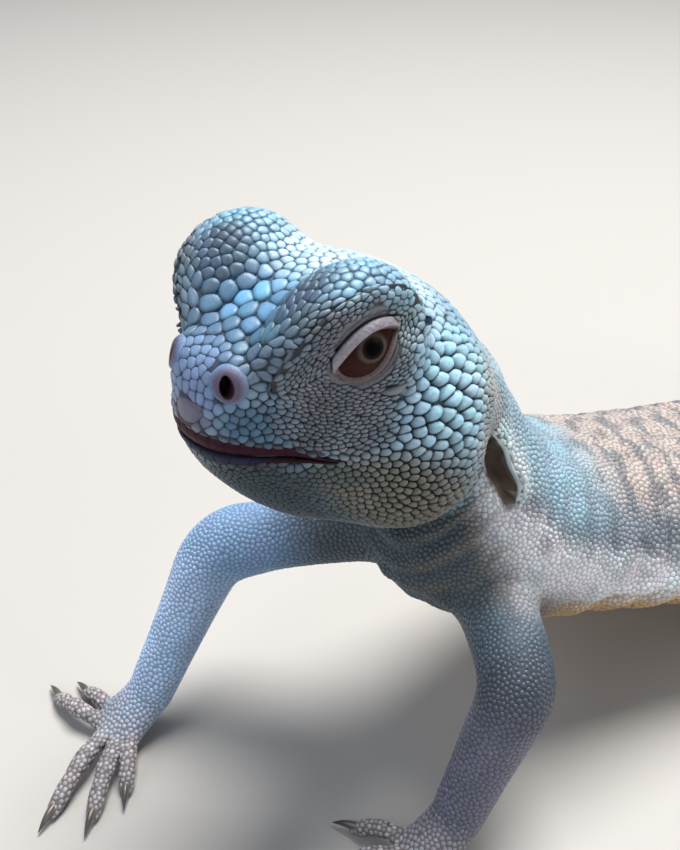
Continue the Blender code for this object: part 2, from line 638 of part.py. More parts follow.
def digit_pieces(middle, reach, side_angle, heading, length, turn, claw):
    """A digit arched from the palm's edge down to the floor, and its claw."""
    t = np.linspace(0, 1, 4)
    headings = np.radians(heading + turn * t)
    step = length / (len(t) - 1)
    walk = np.stack([np.cos(headings), np.sin(headings), 0 * t], -1) * step
    base = middle + bearing(side_angle) * reach
    path = base + np.concatenate([np.zeros((1, 3)), np.cumsum(walk[:-1], 0)])
    radii = np.interp(t, (0, 0.35, 0.7, 1), DIGIT_RADII)
    path[:, 2] = radii - SOLE_SINK + DIGIT_ARCH * np.sin(math.pi * t ** 0.8) + 0.9 * (1 - t)
    way = walk[-1] / step
    inner = base - bearing(heading) * 2.2 + np.array((0, 0, path[0, 2]))
    path = np.concatenate([[inner], path])
    radii = np.concatenate([[DIGIT_RADII[0] * 0.9], radii])
    digit = carried(path, radii, radii * 0.95, DIGIT_SIDES, "digit", 0.0, radii[-1])
    reach_out = np.linspace(0, 1, 3)
    height = radii[-1] + 0.2 + 0.5 * np.sin(math.pi * reach_out * 0.6)
    height = height * (1 - reach_out ** 2) + CLAW_TIP_HEIGHT * reach_out ** 2
    claw_path = path[-1] * (1, 1, 0) + way * (reach_out[:, None] * (claw + 1.0) + 0.2)
    claw_path[:, 2] = height
    thick = CLAW_RADIUS * (1 - 0.82 * reach_out ** 1.3)
    nail = carried(claw_path, thick * 0.8, thick, 4, "claw")
    return [digit, nail]


def build_limb(name, limb, body_cutter):
    """Upper length, lower length and foot of one limb."""
    root, bend, wrist = (np.array(joint, float) for joint in limb["joints"])
    radii = limb["radii"]
    upper_name, lower_name, foot_name = (
        ("upper_" + name, "fore" + name, "hand" + name[3:]) if name.startswith("arm")
        else ("thigh" + name[3:], "shank" + name[3:], "foot" + name[3:]))
    upper = segment(upper_name, root, bend, radii[:3], False)
    lower = segment(lower_name, bend, wrist, radii[2:], True)
    part_at(bend, root, wrist, upper, lower)
    combine(upper, [body_cutter()], "DIFFERENCE")
    heading, reach = limb["palm"]
    palm_end = wrist + bearing(heading) * (reach * 1.5)
    palm_end[2] = PALM_HALF_HEIGHT - SOLE_SINK
    t = np.linspace(0, 1, 5)
    path = wrist + t[:, None] * (palm_end - wrist)
    path[:, 2] = np.interp(t, (0, 0.5, 1), (wrist[2], 4.6, palm_end[2]))
    broad = np.interp(t, (0, 0.5, 0.8, 1), (radii[4], PALM_HALF_WIDTH, PALM_HALF_WIDTH * 1.05, 5.0))
    tall = np.interp(t, (0, 0.4, 1), (radii[4] * 0.96, 4.6, PALM_HALF_HEIGHT))
    foot = carried(path, broad, tall, FOOT_SIDES, foot_name, radii[4], 2.4)
    part_at(wrist, bend, path[1], lower, foot)
    pieces = []
    middle = np.array((*(wrist + bearing(heading) * reach)[:2], 0.0))
    for side_angle, way, length, turn in limb["digits"]:
        pieces += digit_pieces(middle, PALM_HALF_WIDTH * 0.8, side_angle, way, length, turn, CLAW_LENGTH)
    combine(foot, pieces, "UNION")
    keep_side(foot, (0, 0, 0), (0, 0, 1))
    keep_largest(foot)


def trunk_cutter():
    """The neck and trunk made larger by the gap, to cut the limbs clear of them."""
    stations = stations_between(HEAD_END - 4, TORSO_END + 6, 3.0)
    return body_length("trunk_cutter", stations, TRUNK_SIDES, GAP)


def centre_parts():
    """Bring the middle of the whole model's box over the origin."""
    places = np.concatenate([[vertex.co for vertex in item.data.vertices] for item in bpy.data.objects])
    middle = (places.min(0) + places.max(0)) / 2
    for item in bpy.data.objects:
        item.data.transform(Matrix.Translation((-middle[0], -middle[1], 0.0)))


def colour_parts():
    """Give each part a material of its own."""
    kinds = {"head": "head", "jaw": "head", "eye": "eye", "neck": "trunk", "torso": "trunk", "tail": "tail"}
    for item in bpy.data.objects:
        kind = kinds.get(item.name.split("_")[0], "limb")
        material = bpy.data.materials.new(item.name + "_skin")
        material.use_nodes = True
        surface = material.node_tree.nodes["Principled BSDF"]
        surface.inputs["Base Color"].default_value = (*COLOURS[kind], 1.0)
        surface.inputs["Roughness"].default_value = 0.12 if kind == "eye" else 0.6
        surface.inputs["Metallic"].default_value = 0.0
        item.data.materials.clear()
        item.data.materials.append(material)


def main():
    for item in list(bpy.data.objects):
        bpy.data.objects.remove(item)
    build_head()
    build_trunk()
    for name, limb in LIMBS.items():
        build_limb(name, limb, trunk_cutter)
    centre_parts()
    colour_parts()


main()
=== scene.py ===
import json
import math
import time

import bpy
import numpy as np
from mathutils import Matrix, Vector
from mathutils.bvhtree import BVHTree
from mathutils.kdtree import KDTree

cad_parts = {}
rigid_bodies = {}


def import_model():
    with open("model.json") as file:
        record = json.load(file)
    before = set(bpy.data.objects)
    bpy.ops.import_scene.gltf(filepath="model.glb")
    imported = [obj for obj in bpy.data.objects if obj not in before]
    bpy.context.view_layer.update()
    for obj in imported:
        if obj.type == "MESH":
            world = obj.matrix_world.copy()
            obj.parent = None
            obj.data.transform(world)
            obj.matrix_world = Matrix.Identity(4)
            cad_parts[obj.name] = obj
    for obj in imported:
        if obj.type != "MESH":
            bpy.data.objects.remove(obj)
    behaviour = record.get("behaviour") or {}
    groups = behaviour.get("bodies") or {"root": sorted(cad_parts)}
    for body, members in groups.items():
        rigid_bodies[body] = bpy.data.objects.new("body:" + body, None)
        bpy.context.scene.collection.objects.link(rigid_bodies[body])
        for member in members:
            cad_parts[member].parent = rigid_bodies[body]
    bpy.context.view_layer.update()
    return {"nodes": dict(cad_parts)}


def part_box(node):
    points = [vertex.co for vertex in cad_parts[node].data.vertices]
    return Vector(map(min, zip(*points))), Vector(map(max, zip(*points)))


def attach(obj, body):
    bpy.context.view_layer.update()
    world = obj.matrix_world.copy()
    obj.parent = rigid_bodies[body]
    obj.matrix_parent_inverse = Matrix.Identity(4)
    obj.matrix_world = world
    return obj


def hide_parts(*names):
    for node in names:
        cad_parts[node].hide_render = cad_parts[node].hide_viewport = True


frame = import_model()
started = time.time()
mm = 0.001


def stage(words):
    print("uromastyx: %s, %.1f s" % (words, time.time() - started))


# Where the head sits and how it is held. Its own frame is (a forward, y left, z up) in mm.
head = {
    "snout": 40.5, "axisHeight": 4.0, "place": (-0.1, -12.4, 76.2),
    "yaw": 12.2, "pitch": 14.1, "roll": -0.3, "end": 62.0,
    "domes": (((23.9, 11.4, 15.8), (10.2, 7.6, 9.7)), ((26.0, 10.8, 14.6), (8.6, 6.6, 6.4)),
              ((9.0, 12.4, -5.0), (11.0, 9.4, 9.6)), ((36.8, 3.9, 7.8), (3.4, 3.2, 3.2))),
    "domeBlend": 4.4,
    # centre, spread and push of each soft swelling or hollow
    "swellings": (((25.0, 0.0, 20.0), (11.0, 5.5, 7.0), (0.0, 0.0, 0.7)),
                  ((33.0, 12.0, 8.0), (4.0, 5.0, 4.6), (0.0, -0.4, 0.0)),
                  ((26.0, 16.0, 6.0), (6.4, 5.0, 2.8), (0.0, -0.4, 0.0)),
                  ((30.0, 13.5, 1.4), (8.0, 6.0, 2.2), (0.0, 0.6, 0.0)),
                  ((30.0, 13.5, -4.4), (9.0, 6.0, 2.2), (0.0, 0.5, 0.0)),
                  ((-4.0, 0.0, 20.0), (7.0, 6.0, 6.0), (0.0, 0.0, -1.0))),
}

# The backbone behind the head (s, x, y, z, lean, turn) and the girth (s, half width, up, down, narrowing)
body = {
    "line": ((46.0, -0.9, -8.2, 77.0, 20.0, 10.5), (51.5, -1.4, -4.6, 71.5, 32.0, 9.0),
             (58.0, -1.2, -1.4, 64.5, 41.0, 6.0), (65.0, -0.7, 2.2, 57.0, 43.0, 3.0),
             (74.5, 0.0, 8.0, 48.5, 36.0, 0.0), (86.5, 0.0, 17.5, 42.2, 26.0, 0.0),
             (100.5, 0.0, 30.5, 37.2, 18.0, 0.0), (123.5, 0.0, 52.5, 30.6, 14.0, 0.0),
             (150.5, 0.0, 79.0, 24.6, 10.0, 0.0), (177.5, 0.0, 106.0, 20.4, 8.0, 0.0),
             (198.5, 0.4, 127.0, 16.6, 9.0, -2.0), (218.5, 2.0, 146.0, 13.0, 8.0, -7.0),
             (246.5, 7.0, 173.0, 9.7, 4.0, -13.0), (286.5, 18.6, 211.0, 8.0, 2.0, -19.0),
             (326.5, 31.6, 249.0, 6.4, 2.0, -18.0), (368.5, 42.6, 289.5, 4.4, 2.0, -12.0)),
    "girth": ((0.0, 7.0, 7.0, 7.4, 0.16), (3.5, 8.2, 8.6, 10.2, 0.26), (7.5, 9.9, 11.2, 13.6, 0.24),
              (12.5, 13.0, 14.9, 17.2, 0.18), (17.5, 16.0, 17.8, 19.8, 0.14),
              (23.5, 18.8, 18.6, 21.2, 0.18), (30.5, 20.6, 17.4, 21.4, 0.28),
              (36.5, 20.4, 15.4, 21.2, 0.32), (42.5, 18.8, 13.4, 20.6, 0.28),
              (46.5, 17.4, 12.4, 20.0, 0.22), (51.5, 15.8, 12.4, 19.6, 0.14),
              (58.0, 15.4, 12.6, 21.4, 0.08), (65.0, 17.0, 13.2, 23.6, 0.06),
              (74.5, 19.4, 15.2, 23.2, 0.06), (86.5, 20.6, 15.6, 20.0, 0.08),
              (106.5, 22.8, 15.2, 17.4, 0.10), (126.5, 26.6, 14.6, 16.0, 0.12),
              (148.5, 29.5, 14.0, 15.2, 0.14), (168.5, 26.5, 13.4, 14.2, 0.12),
              (186.5, 21.0, 12.6, 13.2, 0.08), (199.5, 18.4, 12.0, 12.0, 0.04),
              (218.5, 17.0, 11.4, 10.6, 0.0), (246.5, 15.0, 10.2, 9.0, 0.0),
              (286.5, 11.8, 8.6, 7.4, 0.0), (326.5, 8.6, 6.6, 5.8, 0.0), (368.5, 5.0, 4.2, 3.9, 0.0)),
    "length": 368.5, "squareness": 2.25, "snoutRound": 6.0, "tailRound": 5.0,
    "sides": 168, "coatDepth": 0.45,
}

tail = {
    "first": 206.0, "last": 362.5, "whorls": 20, "step": 0.9,
    "lengths": ((201.0, 3.0), (236.0, 5.2), (296.0, 4.8), (363.0, 3.0)),
    "spacing": 3.7, "width": 0.62, "lift": 22.0, "variation": 0.14,
}

eye = {
    "place": (24.61, 11.95, 15.8), "radius": 5.63,
    "facing": (0.227, 0.967, -0.118), "slant": 38.9, "half": 4.9,
    # height, roundness and lean to the rear of each lid's margin
    "upper": (2.81, 0.875, 0.15), "lower": (2.10, 0.45, -1.33), "patch": 4.0,
    "gaze": (0.305, 0.948, 0.09), "pupil": 1.05, "iris": 1.45, "ring": 1.95,
    "tones": {"rim": (0.15, 0.115, 0.11), "corner": (0.10, 0.055, 0.05), "upperBand": (0.29, 0.275, 0.325),
              "lowerBand": (0.15, 0.13, 0.135), "above": (0.13, 0.135, 0.16), "below": (0.10, 0.10, 0.12),
              "fold": (0.15, 0.165, 0.195, 0.06, 0.068, 0.085),
              "behind": (0.20, 0.225, 0.235, 0.08, 0.088, 0.085)},
}
# The folds round the lids, and how wide the bare ring of folds is over, under, behind and before the eye
lidShape = {"rows": 60, "sides": 168, "waves": 6.0, "ridge": 0.27, "bare": (2.35, 1.75, 0.75, 1.3), "scaleSize": 0.74}

# the nostril's dark is painted shade in its pit
nostril = {"place": (39.2, 5.8, 8.1), "facing": (0.52, 0.84, 0.12), "pit": (0.85, 1.6), "ring": 2.6,
           "dark": (0.026, 0.003, 0.008), "flesh": (0.11, 0.085, 0.14), "outside": (0.15, 0.23, 0.41)}

# tone: the slit's brown, darkened as painted shade inside it; foldTone: the fold's pale edge, partly painted highlight
ear = {"place": (-10.2, 16.6, -8.6), "half": (1.5, 8.6), "slant": 34.0, "bow": 1.0, "depth": 2.6, "fold": 1.1,
       "tone": (0.10, 0.058, 0.028), "foldTone": (0.66, 0.80, 0.86), "roll": 0.4}

# The mouth's line on the head: a, middle height, half height of the dark band between the lips; the line's tone is
# painted shade in the groove between them
mouth = {"rows": ((22.0, -1.6, 0.06), (24.4, -1.5, 0.16), (26.5, -1.45, 0.4), (28.9, -1.15, 0.78), (31.0, -1.05, 1.2),
                  (33.5, -1.4, 1.5), (36.0, -1.7, 1.9), (38.0, -2.1, 2.2), (40.5, -2.6, 2.2)),
         "depth": 1.0, "line": -0.1, "upperStep": 1.9, "lowerStep": 2.5, "swell": 0.38,
         "upperTone": (0.027, 0.002, 0.011), "upperEdge": (0.06, 0.028, 0.05),
         "lowerTone": (0.017, 0.020, 0.052), "rearTone": (0.014, 0.003, 0.009), "lineShade": (0.004, 0.001, 0.003)}

limbs = {
    "armLeft": {
        "joints": ((7.0, 3.0, 38.5), (30.2, -6.2, 35.0), (29.4, -16.6, 8.0)),
        "radii": (9.0, 7.6, 6.9, 5.5, 4.9), "palm": (-82.0, 5.6),
        "digits": ((-150, -150, 9.0, 10), (-118, -112, 13.0, 8), (-84, -84, 15.5, 4),
                   (-50, -60, 14.0, -8), (-10, -22, 9.5, -12)),
    },
    "armRight": {
        "joints": ((-8.0, -6.0, 43.0), (-25.6, -33.8, 35.5), (-23.0, -50.8, 8.0)),
        "radii": (9.0, 7.6, 6.9, 5.5, 4.9), "palm": (-88.0, 5.6),
        "digits": ((-8, -27, 9.5, 0), (-38, -38, 15.0, 0), (-78, -52, 17.0, 0),
                   (-122, -146, 12.5, -28), (-165, -160, 8.0, -10)),
    },
    "legLeft": {
        "joints": ((8.0, 117.0, 20.5), (42.0, 97.0, 24.0), (46.0, 124.0, 8.0)),
        "radii": (12.0, 10.8, 8.6, 7.2, 5.0), "palm": (-52.0, 8.2),
        "digits": ((-112, -100, 9.0, 6), (-84, -76, 13.5, 4), (-58, -58, 17.5, 2),
                   (-32, -42, 21.0, -4), (6, -6, 13.0, -14)),
    },
    "legRight": {
        "joints": ((-8.0, 117.0, 20.5), (-45.0, 121.0, 22.0), (-43.0, 148.0, 8.0)),
        "radii": (12.0, 10.8, 8.6, 7.2, 5.0), "palm": (-88.0, 8.2),
        "digits": ((-28, -40, 9.0, -6), (-56, -64, 13.5, -4), (-82, -82, 17.5, -2),
                   (-108, -98, 21.0, 4), (-146, -134, 13.0, 14)),
    },
}
# Single large scales on the head: middle, which way they run, and half their length and width
plates = (
    {"place": (21.9, 18.0, 9.6), "way": (-0.90, 0.0, 0.43), "half": (2.5, 0.95)},
    {"place": (40.2, 0.0, 2.5), "way": (0.0, 1.0, 0.0), "half": (3.5, 1.7)},
)

limbShape = {"sides": 28, "palmWidth": 6.0, "palmHeight": 3.0, "digitSides": 14,
             "digitRadii": (2.1, 1.9, 1.75, 1.5), "arch": 1.6, "sole": 0.25,
             "claw": 5.6, "clawRadius": 1.0, "clawTip": 0.7}

# Where each coat begins and ends on the backbone, how near scales may be thrown, in shares of their width, and the
# most triangles of one piece
coat = {"headEnd": 54.0, "bodyStart": 53.4, "spinesStart": 204.0, "apart": 0.78, "toHead": 0.6, "triangles": 190000}

# Sizes of the head's scales by place: centre, spread, width in mm. The last that covers a place wins.
scaleSizes = {
    "base": 1.6,
    "places": (
        ((34.0, 0.0, 15.0), (9.0, 7.5, 6.0), 2.7),
        ((39.0, 0.0, 7.0), (4.8, 6.5, 6.5), 1.5),
        ((24.0, 11.0, 24.0), (9.5, 7.0, 7.0), 1.35),
        ((12.0, 0.0, 19.0), (9.0, 14.0, 6.0), 1.6),
        ((8.5, 17.0, 7.0), (8.5, 8.0, 8.0), 2.3),
        ((13.0, 18.0, -1.0), (8.0, 8.0, 4.5), 2.0),
        ((14.0, 18.0, -7.4), (14.5, 9.0, 8.2), 1.25),
        ((22.0, 16.0, -3.6), (7.0, 6.0, 3.6), 1.05),
        ((26.0, 15.0, 4.5), (8.0, 7.0, 4.2), 1.1),
        ((34.0, 10.0, 2.2), (7.0, 9.0, 3.4), 1.15),
        ((30.0, 14.0, 0.6), (9.0, 9.0, 1.6), 1.25),
        ((29.0, 15.0, 13.5), (6.5, 6.0, 4.4), 0.95),
        ((30.5, 15.0, 19.5), (6.5, 5.0, 2.6), 1.1),
        ((31.0, 8.0, -7.6), (10.0, 12.0, 4.6), 0.85),
        ((10.0, 12.0, -16.0), (13.0, 9.0, 5.5), 1.1),
        ((24.0, 0.0, -12.0), (17.0, 13.0, 8.0), 0.8),
        ((0.0, 0.0, -24.0), (18.0, 18.0, 8.0), 0.85),
        ((-2.5, 17.0, 1.0), (8.2, 7.5, 13.0), 0.85),
        ((-12.0, 0.0, 8.0), (8.0, 18.0, 12.0), 0.95),
    ),
}

# Which way long scales run on the head, and how many times longer than wide they are
scaleGrain = (
    ((10.0, 18.0, 2.0), (12.0, 9.0, 14.0), (-0.95, 0.0, 0.30), 1.4),
    ((27.0, 17.0, 7.0), (9.0, 7.0, 4.5), (-0.97, 0.0, 0.22), 1.6),
    ((30.0, 15.0, 19.5), (8.0, 5.0, 3.6), (-0.86, 0.2, 0.45), 1.9),
    ((35.0, 12.0, 13.5), (4.5, 5.0, 4.5), (-0.8, 0.5, 0.1), 2.0),
    ((30.0, 14.0, 0.8), (9.0, 8.0, 2.4), (-1.0, 0.0, 0.0), 1.25),
)

# Colours by place on the head: centre, spread, middle of a scale, edge of a scale (linear rgb). Where an edge is
# darker than its middle, that is partly painted shade round the scale's dome.
headColours = {
    "base": ((0.26, 0.45, 0.60), (0.13, 0.24, 0.34)),
    "places": (
        ((34.0, 0.0, 17.0), (10.0, 8.0, 6.5), (0.14, 0.34, 0.56), (0.085, 0.21, 0.36)),
        ((24.0, 11.0, 25.0), (9.5, 8.0, 7.5), (0.22, 0.42, 0.58), (0.16, 0.33, 0.46)),
        # the domes' fronts: dark-tipped scales, darkened further as painted shade
        ((31.0, 8.5, 19.5), (5.2, 4.6, 6.0), (0.05, 0.085, 0.14), (0.11, 0.20, 0.30)),
        ((14.0, 0.0, 20.0), (11.0, 15.0, 7.0), (0.52, 0.68, 0.78), (0.30, 0.46, 0.58)),
        ((37.5, 3.0, 12.5), (4.2, 6.0, 3.8), (0.085, 0.18, 0.28), (0.05, 0.11, 0.18)),
        ((39.5, 0.0, 7.0), (4.6, 6.5, 5.5), (0.20, 0.30, 0.52), (0.13, 0.20, 0.36)),
        ((40.5, 0.0, 1.0), (3.5, 5.0, 3.0), (0.15, 0.15, 0.22), (0.10, 0.10, 0.16)),
        ((34.0, 12.0, 11.0), (5.5, 6.0, 5.0), (0.13, 0.18, 0.25), (0.10, 0.16, 0.23)),
        ((30.5, 15.0, 18.4), (6.5, 5.0, 3.0), (0.13, 0.165, 0.21), (0.10, 0.14, 0.19)),
        ((26.0, 16.0, 5.5), (8.0, 7.0, 4.4), (0.14, 0.165, 0.22), (0.085, 0.10, 0.14)),
        ((35.5, 9.0, 3.0), (5.5, 5.0, 3.4), (0.055, 0.15, 0.26), (0.035, 0.09, 0.16)),
        ((30.5, 12.5, 1.3), (5.5, 6.0, 2.2), (0.085, 0.16, 0.24), (0.05, 0.09, 0.14)),
        ((25.0, 15.0, 1.3), (3.6, 6.0, 2.0), (0.19, 0.24, 0.31), (0.09, 0.12, 0.16)),
        ((8.0, 17.0, 6.0), (10.0, 9.0, 9.5), (0.40, 0.70, 0.88), (0.11, 0.20, 0.29)),
        ((11.0, 18.0, -3.5), (10.0, 9.0, 5.6), (0.33, 0.54, 0.72), (0.11, 0.19, 0.27)),
        ((21.5, 18.0, 9.8), (3.6, 3.0, 1.5), (0.16, 0.22, 0.25), (0.09, 0.12, 0.14)),
        # Jowl, chin and throat: their own olive and dark teal, made darker still as painted shade under the head
        ((15.0, 17.0, -7.0), (15.0, 9.0, 8.4), (0.145, 0.145, 0.12), (0.05, 0.05, 0.04)),
        ((21.0, 16.0, -4.6), (6.5, 6.0, 2.8), (0.16, 0.155, 0.125), (0.055, 0.055, 0.045)),
        ((24.5, 14.0, -3.4), (4.6, 6.0, 1.8), (0.085, 0.105, 0.10), (0.04, 0.05, 0.05)),
        ((33.0, 8.0, -7.0), (8.8, 11.0, 5.2), (0.010, 0.030, 0.046), (0.006, 0.018, 0.028)),
        ((28.0, 3.0, -13.5), (19.0, 12.5, 8.0), (0.008, 0.035, 0.054), (0.006, 0.024, 0.036)),
        ((4.0, 8.0, -22.0), (20.0, 15.0, 7.0), (0.014, 0.048, 0.066), (0.010, 0.032, 0.044)),
        ((-2.0, 17.0, 2.0), (7.6, 7.0, 11.5), (0.36, 0.40, 0.41), (0.13, 0.15, 0.16)),
        ((-10.0, 0.0, 12.0), (8.0, 16.0, 9.0), (0.40, 0.56, 0.66), (0.24, 0.36, 0.45)),
    ),
}

skinColours = {
    "shoulder": ((0.33, 0.50, 0.62), (0.27, 0.42, 0.53)),
    "back": ((0.54, 0.47, 0.43), (0.38, 0.34, 0.33)),
    "side": ((0.23, 0.265, 0.31), (0.17, 0.20, 0.24)),
    # flank: its own pale tone pushed near white, partly painted light on the lower side
    "flank": ((0.90, 0.92, 0.98), (0.74, 0.76, 0.84)),
    "reticulation": ((0.13, 0.15, 0.19), (0.09, 0.10, 0.14)),
    # belly: its own cream, tinted orange-brown as painted warm reflected light
    "bellyWarmBounce": ((0.56, 0.36, 0.17), (0.44, 0.28, 0.13)),
    # chest: its own dark teal, darkened further as painted shade under the head
    "chestShaded": ((0.085, 0.12, 0.145), (0.06, 0.085, 0.105)),
    "fold": ((0.17, 0.165, 0.14), (0.11, 0.105, 0.09)),
    # The arms: their own grey-blue, with painted light on the far arm and painted shade on the near arm, darkest at
    # its elbow, where the head's shadow falls
    "farArmLit": ((0.24, 0.40, 0.64), (0.19, 0.32, 0.53)),
    "farForearmLit": ((0.44, 0.62, 0.90), (0.36, 0.51, 0.76)),
    "nearArmShaded": ((0.08, 0.13, 0.19), (0.055, 0.09, 0.135)),
    "nearElbowShadow": ((0.024, 0.025, 0.03), (0.016, 0.017, 0.02)),
    "nearForearmShaded": ((0.155, 0.165, 0.235), (0.12, 0.13, 0.185)),
    "hand": ((0.44, 0.43, 0.47), (0.22, 0.20, 0.205)),
    "leg": ((0.38, 0.41, 0.48), (0.28, 0.31, 0.37)),
    "tail": ((0.48, 0.45, 0.40), (0.32, 0.30, 0.28)),
    "spine": ((0.52, 0.48, 0.41), (0.26, 0.24, 0.22)),
}


def smoothRows(x, rows):
    # a cubic through the rows of a table, with slopes from their neighbours
    table = np.array(rows, float)
    xs, ys = table[:, 0], table[:, 1:]
    slopes = np.gradient(ys, xs, axis=0)
    x = np.clip(np.atleast_1d(np.asarray(x, float)), xs[0], xs[-1])
    k = np.clip(np.searchsorted(xs, x) - 1, 0, len(xs) - 2)
    step = (xs[k + 1] - xs[k])[:, None]
    t = (x - xs[k])[:, None] / step
    first = ys[k] * (1 + 2 * t) * (1 - t) ** 2 + slopes[k] * step * t * (1 - t) ** 2
    return first + ys[k + 1] * t * t * (3 - 2 * t) + slopes[k + 1] * step * t * t * (t - 1)


def axesOf(yaw, pitch, roll=0.0):
    # forward, left and up after a turn to the left, a tip upwards and a roll
    yaw, pitch, roll = np.radians(yaw), np.radians(pitch), np.radians(roll)
    forward = np.stack([np.sin(yaw) * np.cos(pitch), -np.cos(yaw) * np.cos(pitch), np.sin(pitch)], -1)
    level = np.stack([np.cos(yaw), np.sin(yaw), 0 * yaw], -1)
    top = np.cross(forward, level)
    c, s = np.cos(roll)[..., None], np.sin(roll)[..., None]
    return forward, level * c + top * s, top * c - level * s


headAxes = np.stack(axesOf(head["yaw"], head["pitch"], head["roll"]))


def headPoint(p):
    return np.array(head["place"]) + np.asarray(p, float) @ headAxes


def headLocal(p):
    return (np.asarray(p, float) - np.array(head["place"])) @ headAxes.T


def unit(v):
    v = np.asarray(v, float)
    return v / np.maximum(np.linalg.norm(v, axis=-1, keepdims=True), 1e-9)


def ease(x, low, high):
    t = np.clip((x - low) / (high - low), 0, 1)
    return t * t * (3 - 2 * t)


def mixed(a, b, t):
    return a * (1 - t) + b * t


def wobble(p, scale, seed):
    # a smooth field of -1 to 1: sines along seeded directions
    draw = np.random.default_rng(seed)
    ways = draw.normal(size=(6, 3))
    ways /= np.linalg.norm(ways, axis=1)[:, None]
    waves = np.sin((p @ ways.T) * (2 * math.pi / scale) * draw.uniform(0.7, 1.4, 6) + draw.uniform(0, 6.3, 6))
    return waves.sum(-1) / 3.2


def bodyLine():
    rows = []
    for s in (0.0, 14.0, 28.0, 40.5):
        spot = headPoint((head["snout"] - s, 0, head["axisHeight"]))
        rows.append((s, *spot, head["pitch"], head["yaw"], head["roll"]))
    for s, x, y, z, lean, turn in body["line"]:
        rows.append((s, x, y, z, lean, turn, head["roll"] * max(0.0, 1 - (s - 40.5) / 24.0)))
    return rows


bodyRows = bodyLine()


def whorlRise(s):
    # each tail ring grows to its hind edge and drops back
    pitch = (tail["last"] - tail["first"]) / (tail["whorls"] - 1)
    phase = (s - tail["first"]) / pitch + 1
    fade = np.clip(1.15 - 0.5 * (s - tail["first"]) / (tail["last"] - tail["first"]), 0.3, 1)
    return np.where((phase > 0) & (phase < tail["whorls"]), tail["step"] * fade * (phase % 1.0) ** 1.3, 0.0)


def withDomes(a, y, z):
    # along each ray from the axis, the last crossing of a soft union of the section and the head's domes
    reach = np.hypot(y, z)
    alongY, alongZ = y / np.maximum(reach, 1e-6), z / np.maximum(reach, 1e-6)
    steps = np.linspace(0.3, 34.0, 80)
    field = steps - reach[:, None]
    for centre, radii in head["domes"]:
        for side in (1.0, -1.0):
            size = np.sqrt(((a - centre[0])[:, None] / radii[0]) ** 2
                           + ((alongY[:, None] * steps - side * centre[1]) / radii[1]) ** 2
                           + ((alongZ[:, None] * steps + head["axisHeight"] - centre[2]) / radii[2]) ** 2)
            dome = (size - 1) * (sum(radii) / 3)
            mix = np.clip(0.5 + 0.5 * (field - dome) / head["domeBlend"], 0, 1)
            field = field * (1 - mix) + dome * mix - head["domeBlend"] * mix * (1 - mix)
    inside = field < 0
    last = np.clip(inside.shape[1] - 1 - np.argmax(inside[:, ::-1], axis=1), 0, len(steps) - 2)
    row = np.arange(len(last))
    before, after = field[row, last], field[row, last + 1]
    edge = steps[last] + (steps[1] - steps[0]) * before / np.minimum(before - after, -1e-9)
    edge = np.where(inside.any(1), edge, reach)
    return alongY * edge, alongZ * edge


def bodyPoints(s, angle, grow=0.0):
    # a superellipse section at s on the backbone, turned by angle from the left side over the back
    s, angle = np.broadcast_arrays(np.asarray(s, float), np.asarray(angle, float))
    shape = s.shape
    s, angle = s.ravel(), angle.ravel()
    width, up, down, narrowing = smoothRows(s, body["girth"]).T
    c, d = np.cos(angle), np.sin(angle)
    power = 2 / body["squareness"]
    y = width * np.sign(c) * np.abs(c) ** power
    z = np.where(d > 0, up, down) * np.sign(d) * np.abs(d) ** power
    y = y * (1 - narrowing * np.clip(z / up, 0, 1) ** 1.5)
    nearSnout = np.clip(s / body["snoutRound"], 0, 1)
    nearTip = np.clip((body["length"] - s) / body["tailRound"], 0, 1)
    taper = np.sqrt(1 - (1 - nearSnout) ** 2) * np.sqrt(1 - (1 - nearTip) ** 2)
    rise = (grow + whorlRise(s)) * taper
    y, z = y * taper + rise * c, z * taper + rise * d
    a = head["snout"] - s
    near = s < head["end"] + 8
    y[near], z[near] = withDomes(a[near], y[near], z[near])
    local = np.stack([a, y, z + head["axisHeight"]], -1)
    push = np.zeros_like(local)
    for centre, spread, shift in head["swellings"]:
        side = np.where(local[:, 1] < 0, -1.0, 1.0) if centre[1] else np.ones(len(a))
        mirrored = local.copy()
        mirrored[:, 1] *= side
        weight = np.exp(-(((mirrored - centre) / spread) ** 2).sum(-1))
        ways = np.stack([np.full(len(a), shift[0]), side * shift[1], np.full(len(a), shift[2])], -1)
        push += weight[:, None] * ways
    row = smoothRows(s, bodyRows)
    forward, left, top = axesOf(row[:, 4], row[:, 3], row[:, 5])
    points = row[:, :3] + forward * push[:, :1] + left * (y + push[:, 1])[:, None] + top * (z + push[:, 2])[:, None]
    return points.reshape(shape + (3,))


def ringFaces(rings, sides):
    # triangles of a tube of rings, closed round
    i, j = np.meshgrid(np.arange(rings - 1), np.arange(sides), indexing="ij")
    k = (j + 1) % sides
    a, b, c, d = i * sides + j, (i + 1) * sides + j, (i + 1) * sides + k, i * sides + k
    return np.concatenate([np.stack([a, b, c], -1).reshape(-1, 3), np.stack([a, c, d], -1).reshape(-1, 3)])


def tube(rings):
    # a closed tube: its rings and a pole in the middle of each end
    count, sides = rings.shape[:2]
    points = np.concatenate([rings.reshape(-1, 3), rings[:1].mean(1), rings[-1:].mean(1)])
    j = np.arange(sides)
    k = (j + 1) % sides
    first, last = count * sides, count * sides + 1
    caps = [np.stack([np.full(sides, first), j, k], -1),
            np.stack([np.full(sides, last), (count - 1) * sides + k, (count - 1) * sides + j], -1)]
    faces = np.concatenate([ringFaces(count, sides)] + caps)
    return points, outwards(points, faces)


def turnedTo(points, faces, some, way):
    # the faces, turned round if the normals at some of their points look against the way
    return faces[:, ::-1] if (vertexNormals(points, faces)[some] @ way).mean() < 0 else faces


